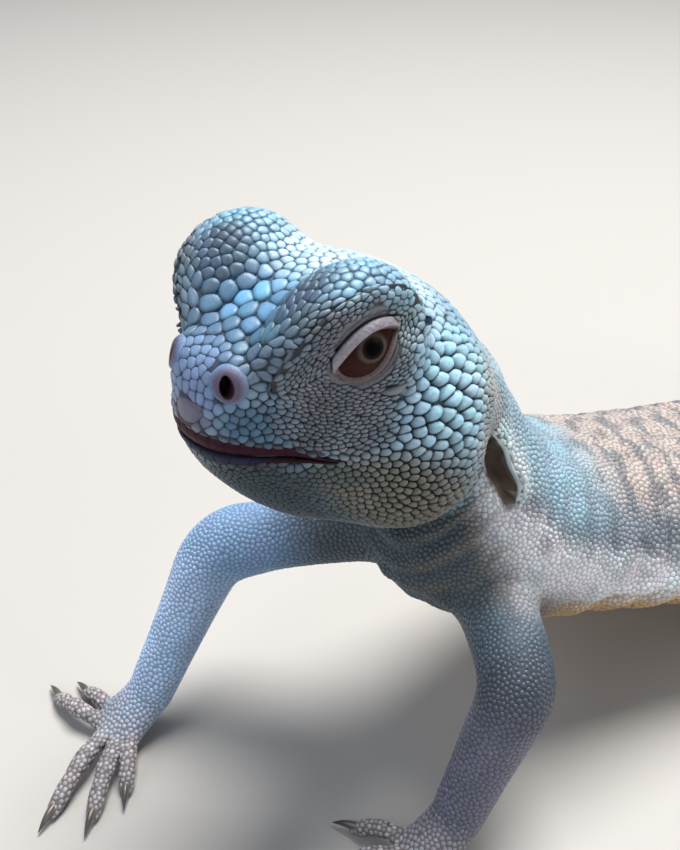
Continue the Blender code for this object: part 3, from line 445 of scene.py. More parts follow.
def outwards(points, faces):
    # turns every face of a closed shape round if its volume is negative
    p = points[faces]
    volume = np.einsum("ij,ij->i", p[:, 0], np.cross(p[:, 1], p[:, 2])).sum()
    return faces if volume > 0 else faces[:, ::-1]


shift = np.array(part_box("eye_left")[0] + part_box("eye_left")[1]) / 2 / mm - headPoint(eye["place"])
shift[2] = 0.0


def newPiece(name, points, faces, tint=None, uv=None):
    # a smooth mesh object from points in the model's own mm, set where the frame has it
    mesh = bpy.data.meshes.new(name)
    points = np.ascontiguousarray((np.asarray(points) + shift) * mm, np.float32)
    faces = np.ascontiguousarray(faces, np.int32)
    mesh.vertices.add(len(points))
    mesh.vertices.foreach_set("co", points.ravel())
    mesh.loops.add(faces.size)
    mesh.loops.foreach_set("vertex_index", faces.ravel())
    mesh.polygons.add(len(faces))
    mesh.polygons.foreach_set("loop_start", np.arange(len(faces), dtype=np.int32) * 3)
    mesh.update(calc_edges=True)
    mesh.shade_smooth()
    if tint is not None:
        layer = mesh.attributes.new("tint", "FLOAT_COLOR", "POINT")
        rgba = np.ones((len(points), 4), np.float32)
        rgba[:, :3] = np.clip(tint, 0.001, 1)
        layer.data.foreach_set("color", rgba.ravel())
    if uv is not None:
        layer = mesh.uv_layers.new(name="OFBake")
        layer.data.foreach_set("uv", np.ascontiguousarray(uv[faces.ravel()], np.float32).ravel())
    item = bpy.data.objects.new(name, mesh)
    bpy.context.scene.collection.objects.link(item)
    return item


def meshArrays(item):
    mesh = item.data
    mesh.calc_loop_triangles()
    points = np.zeros(len(mesh.vertices) * 3, np.float32)
    mesh.vertices.foreach_get("co", points)
    faces = np.zeros(len(mesh.loop_triangles) * 3, np.int32)
    mesh.loop_triangles.foreach_get("vertices", faces)
    return points.reshape(-1, 3).astype(float) / mm - shift, faces.reshape(-1, 3)


def vertexNormals(points, faces):
    # the sum of the face normals round each vertex, by area
    p = points[faces]
    n = np.cross(p[:, 1] - p[:, 0], p[:, 2] - p[:, 0])
    out = np.zeros_like(points)
    for corner in range(3):
        for axis in range(3):
            out[:, axis] += np.bincount(faces[:, corner], n[:, axis], len(points))
    return unit(out)


class Surface:
    # a triangle surface that answers: nearest point, its normal and what it is part of
    def __init__(self, points, faces):
        self.points, self.faces = points, faces
        self.normals = vertexNormals(points, faces)
        self.tree = BVHTree.FromPolygons(points.tolist(), faces.tolist())

    def nearest(self, places):
        hits = [self.tree.find_nearest(p) for p in places.tolist()]
        found = np.array([h[0] for h in hits], float)
        index = np.array([h[2] for h in hits])
        return found, self.normalAt(found, index)

    def normalAt(self, found, index):
        a, b, c = (self.points[self.faces[index, k]] for k in range(3))
        ab, ac, ap = b - a, c - a, found - a
        d00, d01, d11 = (ab * ab).sum(1), (ab * ac).sum(1), (ac * ac).sum(1)
        d20, d21 = (ap * ab).sum(1), (ap * ac).sum(1)
        base = np.maximum(d00 * d11 - d01 * d01, 1e-12)
        v, w = (d11 * d20 - d01 * d21) / base, (d00 * d21 - d01 * d20) / base
        weights = np.clip(np.stack([1 - v - w, v, w], -1), 0, 1)
        return unit((self.normals[self.faces[index]] * weights[:, :, None]).sum(1))

    def reach(self, start, ways, most=40.0):
        # how far each way runs from start to the surface
        hits = [self.tree.ray_cast(start, w, most) for w in ways.tolist()]
        return np.array([h[3] if h[3] is not None else most for h in hits])


def eyeAxes(side):
    # the eye's centre, the way it faces, the way its opening runs back, and the way across that
    sides = np.array((1, side, 1))
    centre = headPoint(np.array(eye["place"]) * sides)
    facing = unit(np.array(eye["facing"]) * sides @ headAxes)
    slant = math.radians(eye["slant"])
    back = np.array((-math.cos(slant), 0, math.sin(slant))) @ headAxes
    back = unit(back - facing * back.dot(facing))
    return centre, facing, back, np.cross(facing, back) * side


def overEye(points, side, far, rear=-1.5):
    # True within 16 mm of the eye's centre and no farther back than rear mm behind it
    centre, facing = eyeAxes(side)[:2]
    return (far < 16) & ((points - centre) @ facing > rear)


eyeSpread = 1 / eye["radius"]  # radians of eyeball for each mm across the lids


def lidCoordinates(p, side):
    # where a point lies over the eye: along and across the opening in mm, and how far from the centre
    centre, facing, back, rise = eyeAxes(side)
    way = p - centre
    far = np.linalg.norm(way, axis=-1)
    way = way / np.maximum(far, 1e-6)[..., None]
    turn = np.arccos(np.clip(way @ facing, -1, 1)) / eyeSpread
    u, v = way @ back, way @ rise
    flat = np.maximum(np.hypot(u, v), 1e-6)
    return u / flat * turn, v / flat * turn, far


def lidMargin(phi):
    # the closed line between the lids: cos gives the way back, each lid's bow is a power of sin that leans
    x, bow = np.cos(phi), np.abs(np.sin(phi))
    upper, lower = eye["upper"], eye["lower"]
    v = np.where(np.sin(phi) > 0, upper[0] * bow ** (2 * upper[1]) * (1 + upper[2] * x),
                 -lower[0] * bow ** (2 * lower[1]) * (1 + lower[2] * x))
    return eye["half"] * x, v


def almondGap(u, v):
    # distance outside the opening between the lids in mm, negative inside it
    marginU, marginV = lidMargin(np.linspace(0, 2 * math.pi, 181))
    gap = np.hypot(u, v) - 4.0
    near = np.flatnonzero(np.abs(gap) < 9)
    nearU, nearV = u[near], v[near]
    far = np.hypot(nearU[:, None] - marginU, nearV[:, None] - marginV).min(1)
    x = np.clip(nearU / eye["half"], -1, 1)
    inside = (nearV < lidMargin(np.arccos(x))[1]) & (nearV > lidMargin(2 * math.pi - np.arccos(x))[1])
    gap[near] = np.where(inside & (np.abs(nearU) < eye["half"]), -far, far)
    return gap


def mouthGap(local):
    # height over the middle of the mouth's band, in its half heights and in mm, and 1 before the mouth's corner
    middle, half = smoothRows(local[:, 0], mouth["rows"]).T
    before = ease(local[:, 0], mouth["rows"][1][0] - 1.2, mouth["rows"][1][0] + 0.8)
    height = local[:, 2] - middle
    return height / half, height, before


def nostrilAxes(side, surface):
    sides = np.array((1, side, 1))
    facing = unit(np.array(nostril["facing"]) * sides @ headAxes)
    start = headPoint(np.array(nostril["place"]) * sides) - facing * 4.0
    centre = start + facing * surface.reach(start, facing[None])[0]
    up = np.array((0.25, 0, 1.0)) @ headAxes
    up = unit(up - facing * up.dot(facing))
    return centre, facing, up, np.cross(facing, up)


def earProfile(across, fade):
    # a slope down from the jowl to the slit, a steep wall behind it, and the sharp fold that the wall ends in
    wide = ear["half"][0] * np.sqrt(fade) + 0.05
    front = 1 - ease(across, -wide * 0.4, wide * 2.0)
    slit = front * ease(across, -wide - 0.45, -wide + 0.45) * fade ** 0.35
    inner = front * ease(across, -wide - 0.75, -wide - 0.4) * fade ** 0.2
    fold = np.where(across > -wide - 0.5, np.exp(-((across + wide + 0.5) / 0.45) ** 2),
                    np.exp(-((across + wide + 0.5) / 3.2) ** 2)) * fade ** 0.35
    return slit, fold, inner


def earPlace(local, side):
    # how far along and across the ear's slit a point on the head lies
    flat = local * (1, side, 1) - ear["place"]
    slant = math.radians(ear["slant"])
    along = flat[:, 0] * math.sin(slant) + flat[:, 2] * math.cos(slant)
    across = flat[:, 0] * math.cos(slant) - flat[:, 2] * math.sin(slant)
    across = across - ear["bow"] * (along / ear["half"][1]) ** 2
    fade = np.clip(1 - (along / ear["half"][1]) ** 2, 0, 1) * (np.abs(flat[:, 1]) < 8)
    return across, fade


def throatWave(points, s, angle):
    # folds across the throat, with how much of the throat a place is
    zone = ease(s, 34, 44) * (1 - ease(s, 66, 78)) * ease(-np.sin(angle), 0.0, 0.5)
    return np.sin(s * (2 * math.pi / 4.6) + 1.2 * np.sin(2 * angle) + 0.8 * wobble(points, 14.0, 9)), zone


def shapeSkin(points, s, angle, raw):
    # pushes for the lids' beds, the nostrils, the mouth, the ears and the folds of the skin
    n = vertexNormals(points, ringFaces(*s.shape))
    s, angle = s.ravel(), angle.ravel()
    push = 0.22 * wobble(points, 17.0, 3) * ease(s, 30, 60) + 0.16 * wobble(points, 8.0, 5) * ease(s, 40, 70)
    below = np.sin(angle)
    across, throat = throatWave(points, s, angle)
    push += throat * (0.55 * across + 0.25 * wobble(points, 5.0, 11))
    sideNeck = ease(s, 52, 60) * (1 - ease(s, 74, 86)) * ease(np.abs(np.cos(angle)), 0.35, 0.8)
    push += sideNeck * 0.45 * np.sin(s * (2 * math.pi / 6.5) + 1.5 * np.sin(angle) + 1.2 * wobble(points, 20.0, 13))
    flank = ease(s, 78, 96) * (1 - ease(s, 178, 196))
    foldAngle = np.radians(-24 + 7 * np.sin(s / 15.0))
    gap = np.arctan2(below, np.abs(np.cos(angle))) - foldAngle
    push += flank * (-1.3 * np.exp(-(gap / 0.075) ** 2) + 0.9 * np.exp(-((gap - 0.17) / 0.1) ** 2))
    ripples = np.sin(s * (2 * math.pi / 7.0) + wobble(points, 18.0, 17) * 1.5)
    push += flank * 0.4 * ripples * ease(np.abs(np.cos(angle)), 0.3, 0.8)
    points = points + n * push[:, None]
    local = headLocal(points)
    over, height, before = mouthGap(local)
    isHead = s < 46
    groove = before * np.exp(-((height - mouth["line"]) / 0.42) ** 2) * isHead
    lips = before * (np.exp(-((over - 1.35) / 0.5) ** 2) + 0.6 * np.exp(-((over + 0.6) / 0.5) ** 2)) * isHead
    sunk = 0.35 * before * np.exp(-(np.abs(over) / 0.9) ** 8) * isHead
    points = points + n * (-mouth["depth"] * groove + 0.3 * lips - sunk)[:, None]
    for side in (1, -1):
        u, v, far = lidCoordinates(points, side)
        under = (1 - ease(almondGap(u, v), 2.4, 4.0)) * overEye(points, side, far)
        under *= mixed(1.0, ease(height, 2.4, 4.0), before)
        way = (points - eyeAxes(side)[0]) / np.maximum(far, 1e-6)[:, None]
        points = points + way * ((eye["radius"] - 0.9 - far) * under)[:, None]
        centre, facing, up, sideways = nostrilAxes(side, raw)
        flat = points - centre
        out = np.hypot((flat @ sideways) / nostril["pit"][0], (flat @ up) / nostril["pit"][1])
        near = np.abs(flat @ facing) < 4.5
        points = points - facing * (2.6 * np.exp(-(out / 1.35) ** 4) * near)[:, None]
        slit, fold, _ = earProfile(*earPlace(headLocal(points), side))
        left = headAxes[1] * side
        points = points + left * (-ear["depth"] * slit + ear["fold"] * fold)[:, None]
    return points


def smoothPath(joints, steps, rounding):
    # a polyline through the joints whose corners are rounded by a running mean
    joints = np.asarray(joints, float)
    lengths = np.linalg.norm(np.diff(joints, axis=0), axis=1)
    marks = np.concatenate([[0], np.cumsum(lengths)])
    t = np.linspace(0, marks[-1], steps)
    spread = np.linspace(-rounding, rounding, 9)
    room = np.minimum(1, np.minimum(t, marks[-1] - t) / rounding)
    sample = np.clip(t[:, None] + spread[None] * room[:, None], 0, marks[-1])
    path = np.stack([np.interp(sample, marks, joints[:, k]) for k in range(3)], -1).mean(1)
    return path, t / marks[-1], marks / marks[-1]


def sweep(path, widths, heights, sides, start=None, roundStart=0.0, roundEnd=0.0):
    # an ellipse carried along a path, its ends rounded; the first axis starts level and is carried along
    tangent = unit(np.gradient(path, axis=0))
    caps = np.radians([80.0, 62.0, 44.0, 22.0])
    centres, wide, tall, ways = list(path), list(widths), list(heights), list(tangent)
    for tip in caps[::-1] if roundStart else ():
        centres.insert(0, path[0] - tangent[0] * roundStart * math.sin(tip))
        wide.insert(0, widths[0] * math.cos(tip))
        tall.insert(0, heights[0] * math.cos(tip))
        ways.insert(0, tangent[0])
    for tip in caps[::-1] if roundEnd else ():
        centres.append(path[-1] + tangent[-1] * roundEnd * math.sin(tip))
        wide.append(widths[-1] * math.cos(tip))
        tall.append(heights[-1] * math.cos(tip))
        ways.append(tangent[-1])
    across = unit(np.cross((0.0, 0.0, 1.0), ways[0])) if start is None else unit(start)
    sidesOf = []
    for way in ways:
        across = unit(across - way * across.dot(way))
        sidesOf.append(across)
    sidesOf, ways = np.array(sidesOf), np.array(ways)
    top = np.cross(ways, sidesOf)
    angles = np.arange(sides) * 2 * math.pi / sides
    return (np.array(centres)[:, None]
            + np.cos(angles)[None, :, None] * np.array(wide)[:, None, None] * sidesOf[:, None]
            + np.sin(angles)[None, :, None] * np.array(tall)[:, None, None] * top[:, None])


def bearing(degrees):
    return np.array([math.cos(math.radians(degrees)), math.sin(math.radians(degrees)), 0.0])


def digitPath(middle, sideAngle, heading, length, turn, steps=12):
    # a digit's walk from the palm's edge: level turns, with an arch that comes down to the floor
    t = np.linspace(0, 1, steps)
    headings = np.radians(heading + turn * t)
    step = length / (steps - 1)
    walk = np.stack([np.cos(headings), np.sin(headings), 0 * t], -1) * step
    base = middle + bearing(sideAngle) * limbShape["palmWidth"] * 0.8
    path = base + np.concatenate([np.zeros((1, 3)), np.cumsum(walk[:-1], 0)])
    radii = np.interp(t, (0, 0.35, 0.7, 1), limbShape["digitRadii"])
    path[:, 2] = radii - limbShape["sole"] + limbShape["arch"] * np.sin(math.pi * t ** 0.8) + 0.9 * (1 - t)
    inner = base - bearing(heading) * 2.2 + np.array((0, 0, path[0, 2]))
    knuckles = 1 + 0.07 * np.cos(t * 2 * math.pi * 2.4)
    return np.concatenate([[inner], path]), np.concatenate([[radii[0] * 0.9], radii * knuckles]), walk[-1] / step


def buildLimb(limb, depth):
    # the limb's tubes, each as rings, with what share of the limb each ring is at, and its claws' roots
    wrist, r = np.array(limb["joints"][2], float), limb["radii"]
    heading, reach = limb["palm"]
    path, t, marks = smoothPath(limb["joints"], 46, 5.5)
    middle = marks[1]
    swell = smoothRows(t, [(0.0, r[0]), (middle * 0.5, r[1]), (middle, (r[2] + r[1]) / 2),
                           (middle + (1 - middle) * 0.3, (r[2] + r[3]) / 2),
                           (middle + (1 - middle) * 0.6, r[3]), (1.0, r[4])])[:, 0]
    arm = sweep(path, swell - depth, swell * 0.97 - depth, limbShape["sides"], roundEnd=r[4] * 0.7)
    palmEnd = wrist + bearing(heading) * (reach * 1.5)
    palmEnd[2] = limbShape["palmHeight"] - limbShape["sole"]
    u = np.linspace(0, 1, 14)
    palmPath = wrist + u[:, None] * (palmEnd - wrist)
    palmPath[:, 2] = np.interp(u, (0, 0.5, 1), (wrist[2], 4.6, palmEnd[2]))
    palmPath[:, 2] = np.convolve(np.pad(palmPath[:, 2], 2, "edge"), np.ones(5) / 5, "valid")
    broad = smoothRows(u, [(0, r[4]), (0.5, 6.0), (0.8, 6.2), (1, 5.0)])[:, 0]
    tall = smoothRows(u, [(0, r[4] * 0.96), (0.4, 4.5), (1, limbShape["palmHeight"])])[:, 0]
    palm = sweep(palmPath, broad - depth, tall - depth, 24, roundStart=r[4] * 0.8, roundEnd=2.4)
    parts = [(arm, "limb", 0.0, 1.0), (palm, "palm", 1.0, 1.3)]
    palmMiddle = np.array((*(wrist + bearing(heading) * reach)[:2], 0.0))
    claws = []
    for sideAngle, way, length, turn in limb["digits"]:
        line, radii, end = digitPath(palmMiddle, sideAngle, way, length, turn)
        finger = sweep(line, radii - depth * 0.6, radii * 0.95 - depth * 0.6, limbShape["digitSides"],
                       roundEnd=radii[-1])
        parts.append((finger, "digit", 1.3, 2.0))
        claws.append((line[-1], radii[-1], end))
    return parts, claws


def unionOf(name, shapes):
    # one closed surface from overlapping closed shapes
    base = newPiece(name, *shapes[0])
    group = bpy.data.collections.new(name + "Parts")
    bpy.context.scene.collection.children.link(group)
    for k, shape in enumerate(shapes[1:]):
        item = newPiece("%s_%d" % (name, k), *shape)
        bpy.context.scene.collection.objects.unlink(item)
        group.objects.link(item)
    joiner = base.modifiers.new("join", "BOOLEAN")
    joiner.operation, joiner.solver = "UNION", "MANIFOLD"
    joiner.operand_type, joiner.collection = "COLLECTION", group
    graph = bpy.context.evaluated_depsgraph_get()
    graph.update()
    result = bpy.data.meshes.new_from_object(base.evaluated_get(graph))
    base.modifiers.clear()
    base.data = result
    for item in list(group.objects):
        bpy.data.objects.remove(item)
    bpy.data.collections.remove(group)
    points, faces = meshArrays(base)
    bpy.data.objects.remove(base)
    return points, faces


def softened(points, faces, weight, rounds):
    # moves each vertex towards the mean of its neighbours, as far as its weight says
    edges = np.concatenate([faces[:, [0, 1]], faces[:, [1, 2]], faces[:, [2, 0]]])
    edges = np.unique(np.sort(edges, axis=1), axis=0)
    both = np.concatenate([edges, edges[:, ::-1]])
    count = np.maximum(np.bincount(both[:, 0], minlength=len(points)), 1)
    for _ in range(rounds):
        sums = np.stack([np.bincount(both[:, 0], points[both[:, 1], k], len(points)) for k in range(3)], -1)
        points = points + (sums / count[:, None] - points) * weight[:, None]
    return points


# The body's own surface, then the limbs, joined and softened where they meet
depth = body["coatDepth"]
tip = body["snoutRound"] * (1 - np.cos(np.radians(np.arange(5, 88, 5))))
endTip = body["length"] - body["tailRound"] * (1 - np.sin(np.radians(np.arange(15, 90, 12))))
stations = np.concatenate([tip, np.arange(6.0, 66, 0.62), np.arange(66, 200, 1.5),
                           np.arange(200, 363.4, 1.25), endTip])
turn = np.arange(body["sides"]) * 2 * math.pi / body["sides"]
turn = turn + 0.25 * np.cos(turn)
sGrid, angleGrid = np.meshgrid(stations, turn, indexing="ij")
rawRings = bodyPoints(sGrid, angleGrid, -depth)
rawPoints = rawRings.reshape(-1, 3)
bodyFaces = ringFaces(*sGrid.shape)
headWeight = 0.6 * (1 - ease(sGrid.ravel(), 44, 60))
rawPoints = softened(rawPoints, bodyFaces, headWeight, 5)
rawBody = Surface(rawPoints, bodyFaces)
stage("body's surface worked out")
shaped = shapeSkin(rawPoints, sGrid, angleGrid, rawBody).reshape(rawRings.shape)

lofts = [(shaped, "body", None)]
clawRoots = {}
for limbName, limb in limbs.items():
    parts, claws = buildLimb(limb, depth)
    clawRoots[limbName] = claws
    for rings, kind, low, high in parts:
        lofts.append((rings, kind, (limbName, low, high)))
skinPoints, skinFaces = unionOf("skin", [tube(rings) for rings, _, _ in lofts])
skinPoints[:, 2] = np.maximum(skinPoints[:, 2], 0.12)
stage("skin joined, %d faces" % len(skinFaces))

soft = np.zeros(len(skinPoints))
for limb in limbs.values():
    root, bend, wrist = (np.array(j, float) for j in limb["joints"])
    way = unit(bend - root)
    mid = root + way * min(14.0, np.linalg.norm(bend - root) * 0.6)
    soft = np.maximum(soft, 1 - ease(np.linalg.norm(skinPoints - mid, axis=1), 10, 17))
    foot = wrist + bearing(limb["palm"][0]) * limb["palm"][1]
    soft = np.maximum(soft, 0.55 * (1 - ease(np.linalg.norm(skinPoints - foot * (1, 1, 0.5), axis=1), 7, 10)))
skinPoints = softened(skinPoints, skinFaces, soft * 0.6, 10)
skin = Surface(skinPoints, skinFaces)
stage("skin softened where limbs join")

# What part of the animal each point is: the nearest loft vertex's kind, place and patch of the unwrap
kinds = {"body": 0, "limb": 1, "palm": 2, "digit": 3}
loftPoints, loftFacts = [], []
for k, (rings, kind, place) in enumerate(lofts):
    count, sides = rings.shape[:2]
    along, around = np.meshgrid(np.linspace(0, 1, count), np.arange(sides) / sides, indexing="ij")
    if kind == "body":
        s, share = sGrid, angleGrid
        u, v = 0.01 + 0.62 * sGrid / body["length"], 0.01 + 0.97 * (angleGrid / (2 * math.pi) % 1)
        front = np.zeros_like(s)
    else:
        s, share = mixed(place[1], place[2], along), around
        column, row = (k - 1) % 4, (k - 1) // 4
        u, v = 0.66 + 0.085 * column + 0.075 * along, 0.01 + 0.14 * row + 0.12 * around
        front = np.full_like(s, {"armLeft": 1.0, "armRight": 2.0}.get(place[0], 0.0))
    loftPoints.append(rings.reshape(-1, 3))
    loftFacts.append(np.stack([np.full(s.shape, kinds[kind]), s, share, u, v, front], -1).reshape(-1, 6))
loftPoints, loftFacts = np.concatenate(loftPoints), np.concatenate(loftFacts)


def treeOf(points):
    tree = KDTree(len(points))
    for k, p in enumerate(points.tolist()):
        tree.insert(p, k)
    tree.balance()
    return tree


loftTree = treeOf(loftPoints)
bodyTree = treeOf(loftPoints[loftFacts[:, 0] == 0])


def factsAt(points):
    # kind, s or share of the limb, angle, u, v, and 1 on the left foreleg, 2 on the right one
    return loftFacts[np.array([loftTree.find(p)[1] for p in points.tolist()], int)]


def blobs(local, base, places, columns):
    # values that change from place to place: each blob covers what came before it
    mirrored = np.stack([local[:, 0], np.abs(local[:, 1]), local[:, 2]], -1)
    out = np.tile(np.asarray(base, float).reshape(1, columns), (len(local), 1))
    for centre, spread, *value in places:
        gap = (((mirrored - centre) / spread) ** 2).sum(-1)
        weight = 1 / (1 + np.minimum(gap, 50) ** 4)
        out = mixed(out, np.asarray(value, float).reshape(1, columns), weight[:, None])
    return out


def lipShare(local):
    # how far a point is in the band of the lips
    over, _, before = mouthGap(local)
    return before * np.exp(-(np.abs(over) / 1.15) ** 8)


def colourAt(points, facts):
    # the colour in the middle of a scale and at its edge
    kind, along = facts[:, 0], facts[:, 1]
    root = np.flatnonzero((kind == 1) & (along < 0.5))
    facts = facts.copy()
    facts[root, :5] = loftFacts[loftFacts[:, 0] == 0][[bodyTree.find(p)[1] for p in points[root].tolist()], :5]
    s, angle = facts[:, 1], facts[:, 2]
    local = headLocal(points)
    headPair = blobs(local, headColours["base"], headColours["places"], 6)
    # painted shade of the mouth's groove, on the skin under the lips
    headPair = mixed(headPair, np.array(mouth["lineShade"] * 2), lipShare(local)[:, None])
    for side in (1, -1):
        u, v, far = lidCoordinates(points, side)
        folds = (1 - ease(almondGap(u, v) + ease(u, 3.0, 5.0), 2.4, 4.8)) * overEye(points, side, far) * 0.85
        foldTone = mixed(np.array(eye["tones"]["fold"]), np.array(eye["tones"]["behind"]), ease(u, 3.0, 6.0)[:, None])
        headPair = mixed(headPair, foldTone * (1 + 0.35 * wobble(points, 3.2, 27))[:, None], folds[:, None])
    for side in (1, -1):
        centre, facing, up, across = nostrilAxes(side, rawBody)
        flat = points - centre
        pit = np.exp(-(np.hypot(flat @ across, flat @ up) / 2.0) ** 6) * (np.abs(flat @ facing) < 5)
        # painted shade in the nostril's pit
        headPair = mixed(headPair, np.array(nostril["dark"] * 2) * 0.5, pit[:, None])
    pair = {name: np.asarray(value, float).reshape(1, 6) for name, value in skinColours.items()}
    high = np.sin(angle)
    streaks = 0.8 * wobble(points * (1.0, 2.2, 0.7), 10.0, 21) + 0.9 * wobble(points * (1.0, 1.6, 0.8), 4.0, 22)
    patches = ease(streaks, 0.0, 0.6)[:, None]
    shoulder = (ease(s, 50, 60) * (1 - ease(s, 74, 98)))[:, None]
    # the flank's near-white is partly painted light
    trunk = mixed(pair["flank"], pair["side"], ease(high, 0.0, 0.3)[:, None])
    trunk = mixed(trunk, pair["back"], ease(high, 0.4, 0.8)[:, None])
    upperSide = ease(high, -0.15, 0.25)[:, None]
    trunk = mixed(trunk, pair["reticulation"], patches * mixed(0.15, 0.68, upperSide))
    shoulderPair = mixed(pair["shoulder"], pair["reticulation"], patches * 0.25)
    trunk = mixed(trunk, shoulderPair, shoulder * ease(high, 0.0, 0.5)[:, None])
    # painted warm reflected light on the belly
    trunk = mixed(trunk, pair["bellyWarmBounce"], ease(-high, 0.25, 0.6)[:, None])
    # painted shade under the head, on the chest
    trunk = mixed(trunk, pair["chestShaded"], (1 - ease(s, 78, 92))[:, None] * ease(-high, 0.1, 0.55)[:, None])
    out = mixed(headPair, trunk, ease(s, 50, 58)[:, None])
    wave, throat = throatWave(points, s, angle)
    ridged = throat * ease(wave, -0.2, 0.9) * ease(np.abs(local[:, 1]), 5.0, 11.0) * (kind == 0)
    out = mixed(out, pair["fold"], (0.65 * ridged)[:, None])
    for side in (1, -1):
        _, fold, inner = (w * (kind == 0) * (s > 40) * (s < 76) for w in earProfile(*earPlace(local, side)))
        foldPair = np.array(ear["foldTone"] * 2) * (1, 1, 1, 0.8, 0.8, 0.8)
        # painted highlight along the fold's edge and painted shade inside the slit, over their own pale and brown
        out = mixed(out, foldPair, np.clip(fold * 1.3, 0, 1)[:, None])
        out = mixed(out, np.array(ear["tone"] * 2), np.clip(inner * 1.2, 0, 1)[:, None])
    tailPair = mixed(pair["tail"], pair["reticulation"], patches * 0.45)
    out = mixed(out, tailPair, ease(s, 196, 208)[:, None])
    isArm, isFar = facts[:, 5:6] > 0, facts[:, 5:6] > 1
    # painted light on the far arm and painted shade on the near one, over the arms' own colours
    upperArm = np.where(isFar, pair["farArmLit"], pair["nearArmShaded"])
    lowerArm = np.where(isFar, pair["farForearmLit"], pair["nearForearmShaded"])
    s = along
    # painted shadow round the near arm's elbow
    upperArm = mixed(upperArm, pair["nearElbowShadow"], (np.exp(-((s - 0.47) / 0.12) ** 2) * 0.7)[:, None] * (1 - isFar))
    armPair = mixed(upperArm, lowerArm, ease(s, 0.4, 0.62)[:, None])
    legPair = mixed(pair["leg"], pair["reticulation"], patches * 0.35)
    bands = 1 + 0.3 * np.sin(s * 2 * math.pi / 0.085) * ease(s, 1.35, 1.45)
    limbPair = mixed(np.where(isArm, armPair, legPair), pair["hand"], ease(s, 0.75, 1.45)[:, None])
    limbPair = limbPair * bands[:, None]
    out = mixed(out, limbPair, (ease(s, 0.16, 0.36) * (kind > 0))[:, None])
    out = out * (1 + 0.10 * wobble(points, 6.0, 25))[:, None]
    return out[:, :3], out[:, 3:]


def nearLids(points):
    # 1 beside the lids to 0 some way off, and the way the lids run there
    share, ways = np.zeros(len(points)), np.zeros_like(points)
    for side in (1, -1):
        back, rise = eyeAxes(side)[2:]
        u, v, far = lidCoordinates(points, side)
        own = (1 - ease(almondGap(u, v) + ease(u, 3.0, 5.0), 2.6, 4.6)) * overEye(points, side, far, -2)
        ends = np.clip(np.abs(u) / (eye["half"] + 2.0), 0, 1)[:, None] ** 2 * np.sign(-u * v)[:, None]
        ways += own[:, None] * unit(back + rise * ends * 1.2)
        share += own
    return share, ways


def sizeAt(points, facts):
    # how wide the scales are at each point, in mm
    kind, s, angle = facts[:, 0], facts[:, 1], facts[:, 2]
    onHead = blobs(headLocal(points), scaleSizes["base"], scaleSizes["places"], 1)[:, 0]
    onHead = mixed(onHead, lidShape["scaleSize"], nearLids(points)[0])
    high = np.sin(angle)
    trunk = mixed(0.85, 1.2, ease(s, 80, 130)) + 0.3 * ease(-high, 0.3, 0.8) * ease(s, 80, 110)
    trunk = mixed(trunk, 2.0, ease(s, 196, 208))
    size = mixed(onHead, trunk, ease(s, 48, 58))
    onLimb = mixed(np.where(facts[:, 5] > 0, 0.85, 1.25), 0.95, ease(s, 1.0, 1.4))
    return np.where(kind == 0, size, onLimb)


def grainAt(points, facts):
    # which way the scales run and how many times longer than wide they are
    local = headLocal(points)
    run = blobs(local, (-1.0, 0.0, 0.1, 1.0), tuple((c, w, way + (long,)) for c, w, way, long in scaleGrain), 4)
    way = run[:, :3] * np.stack([np.ones(len(local)), np.where(local[:, 1] < 0, -1.0, 1.0), np.ones(len(local))], -1)
    onHead = (facts[:, 0] == 0) & (facts[:, 1] < 50)
    share, lidWays = nearLids(points)
    way = mixed(np.where(onHead[:, None], way @ headAxes, np.array((0.0, 1.0, 0.15))), lidWays, share[:, None])
    return unit(way), np.where(onHead, mixed(run[:, 3], 1.9, share), 1.0)


def openAt(points, facts):
    # True where no scale grows: lid margins, nostrils, the mouth's band, the ear's slit, and the floor
    local = headLocal(points)
    over, _, before = mouthGap(local)
    shut = (facts[:, 1] < 46) & (facts[:, 0] == 0) & (before > 0.4) & (np.abs(over) < 0.85)
    shut |= points[:, 2] < 0.25
    onHead = (facts[:, 0] == 0) & (facts[:, 1] < 70)
    for side in (1, -1):
        u, v, far = lidCoordinates(points, side)
        shut |= onHead & (almondGap(u, v) < bareRing(u, v)) & overEye(points, side, far)
        centre, facing, up, across = nostrilAxes(side, rawBody)
        flat = points - centre
        shut |= onHead & (np.hypot(flat @ across, flat @ up) < nostril["ring"] * 0.86) & (np.abs(flat @ facing) < 4)
        shut |= onHead & (earProfile(*earPlace(local, side))[2] > 0.45)
        for plate in plates:
            flat = local * (1, side, 1) - plate["place"]
            way = unit(plate["way"])
            along = flat @ way
            rest = np.linalg.norm(flat - along[:, None] * way, axis=1)
            shut |= onHead & (np.hypot(along / (plate["half"][0] + 0.2), rest / (plate["half"][1] + 0.2)) < 1)
    return shut


def bareRing(u, v):
    # how wide the bare folds are round the lids at a place, in mm
    over, under, rear, front = lidShape["bare"]
    behind = ease((u - 3.2) / np.maximum(np.hypot(u - 3.2, v), 1e-6), 0.35, 0.85)
    bare = mixed(mixed(under, over, ease(v, -1.0, 1.0)), rear, behind)
    return mixed(bare, front, ease(-3.2 - u, -0.5, 1.2))


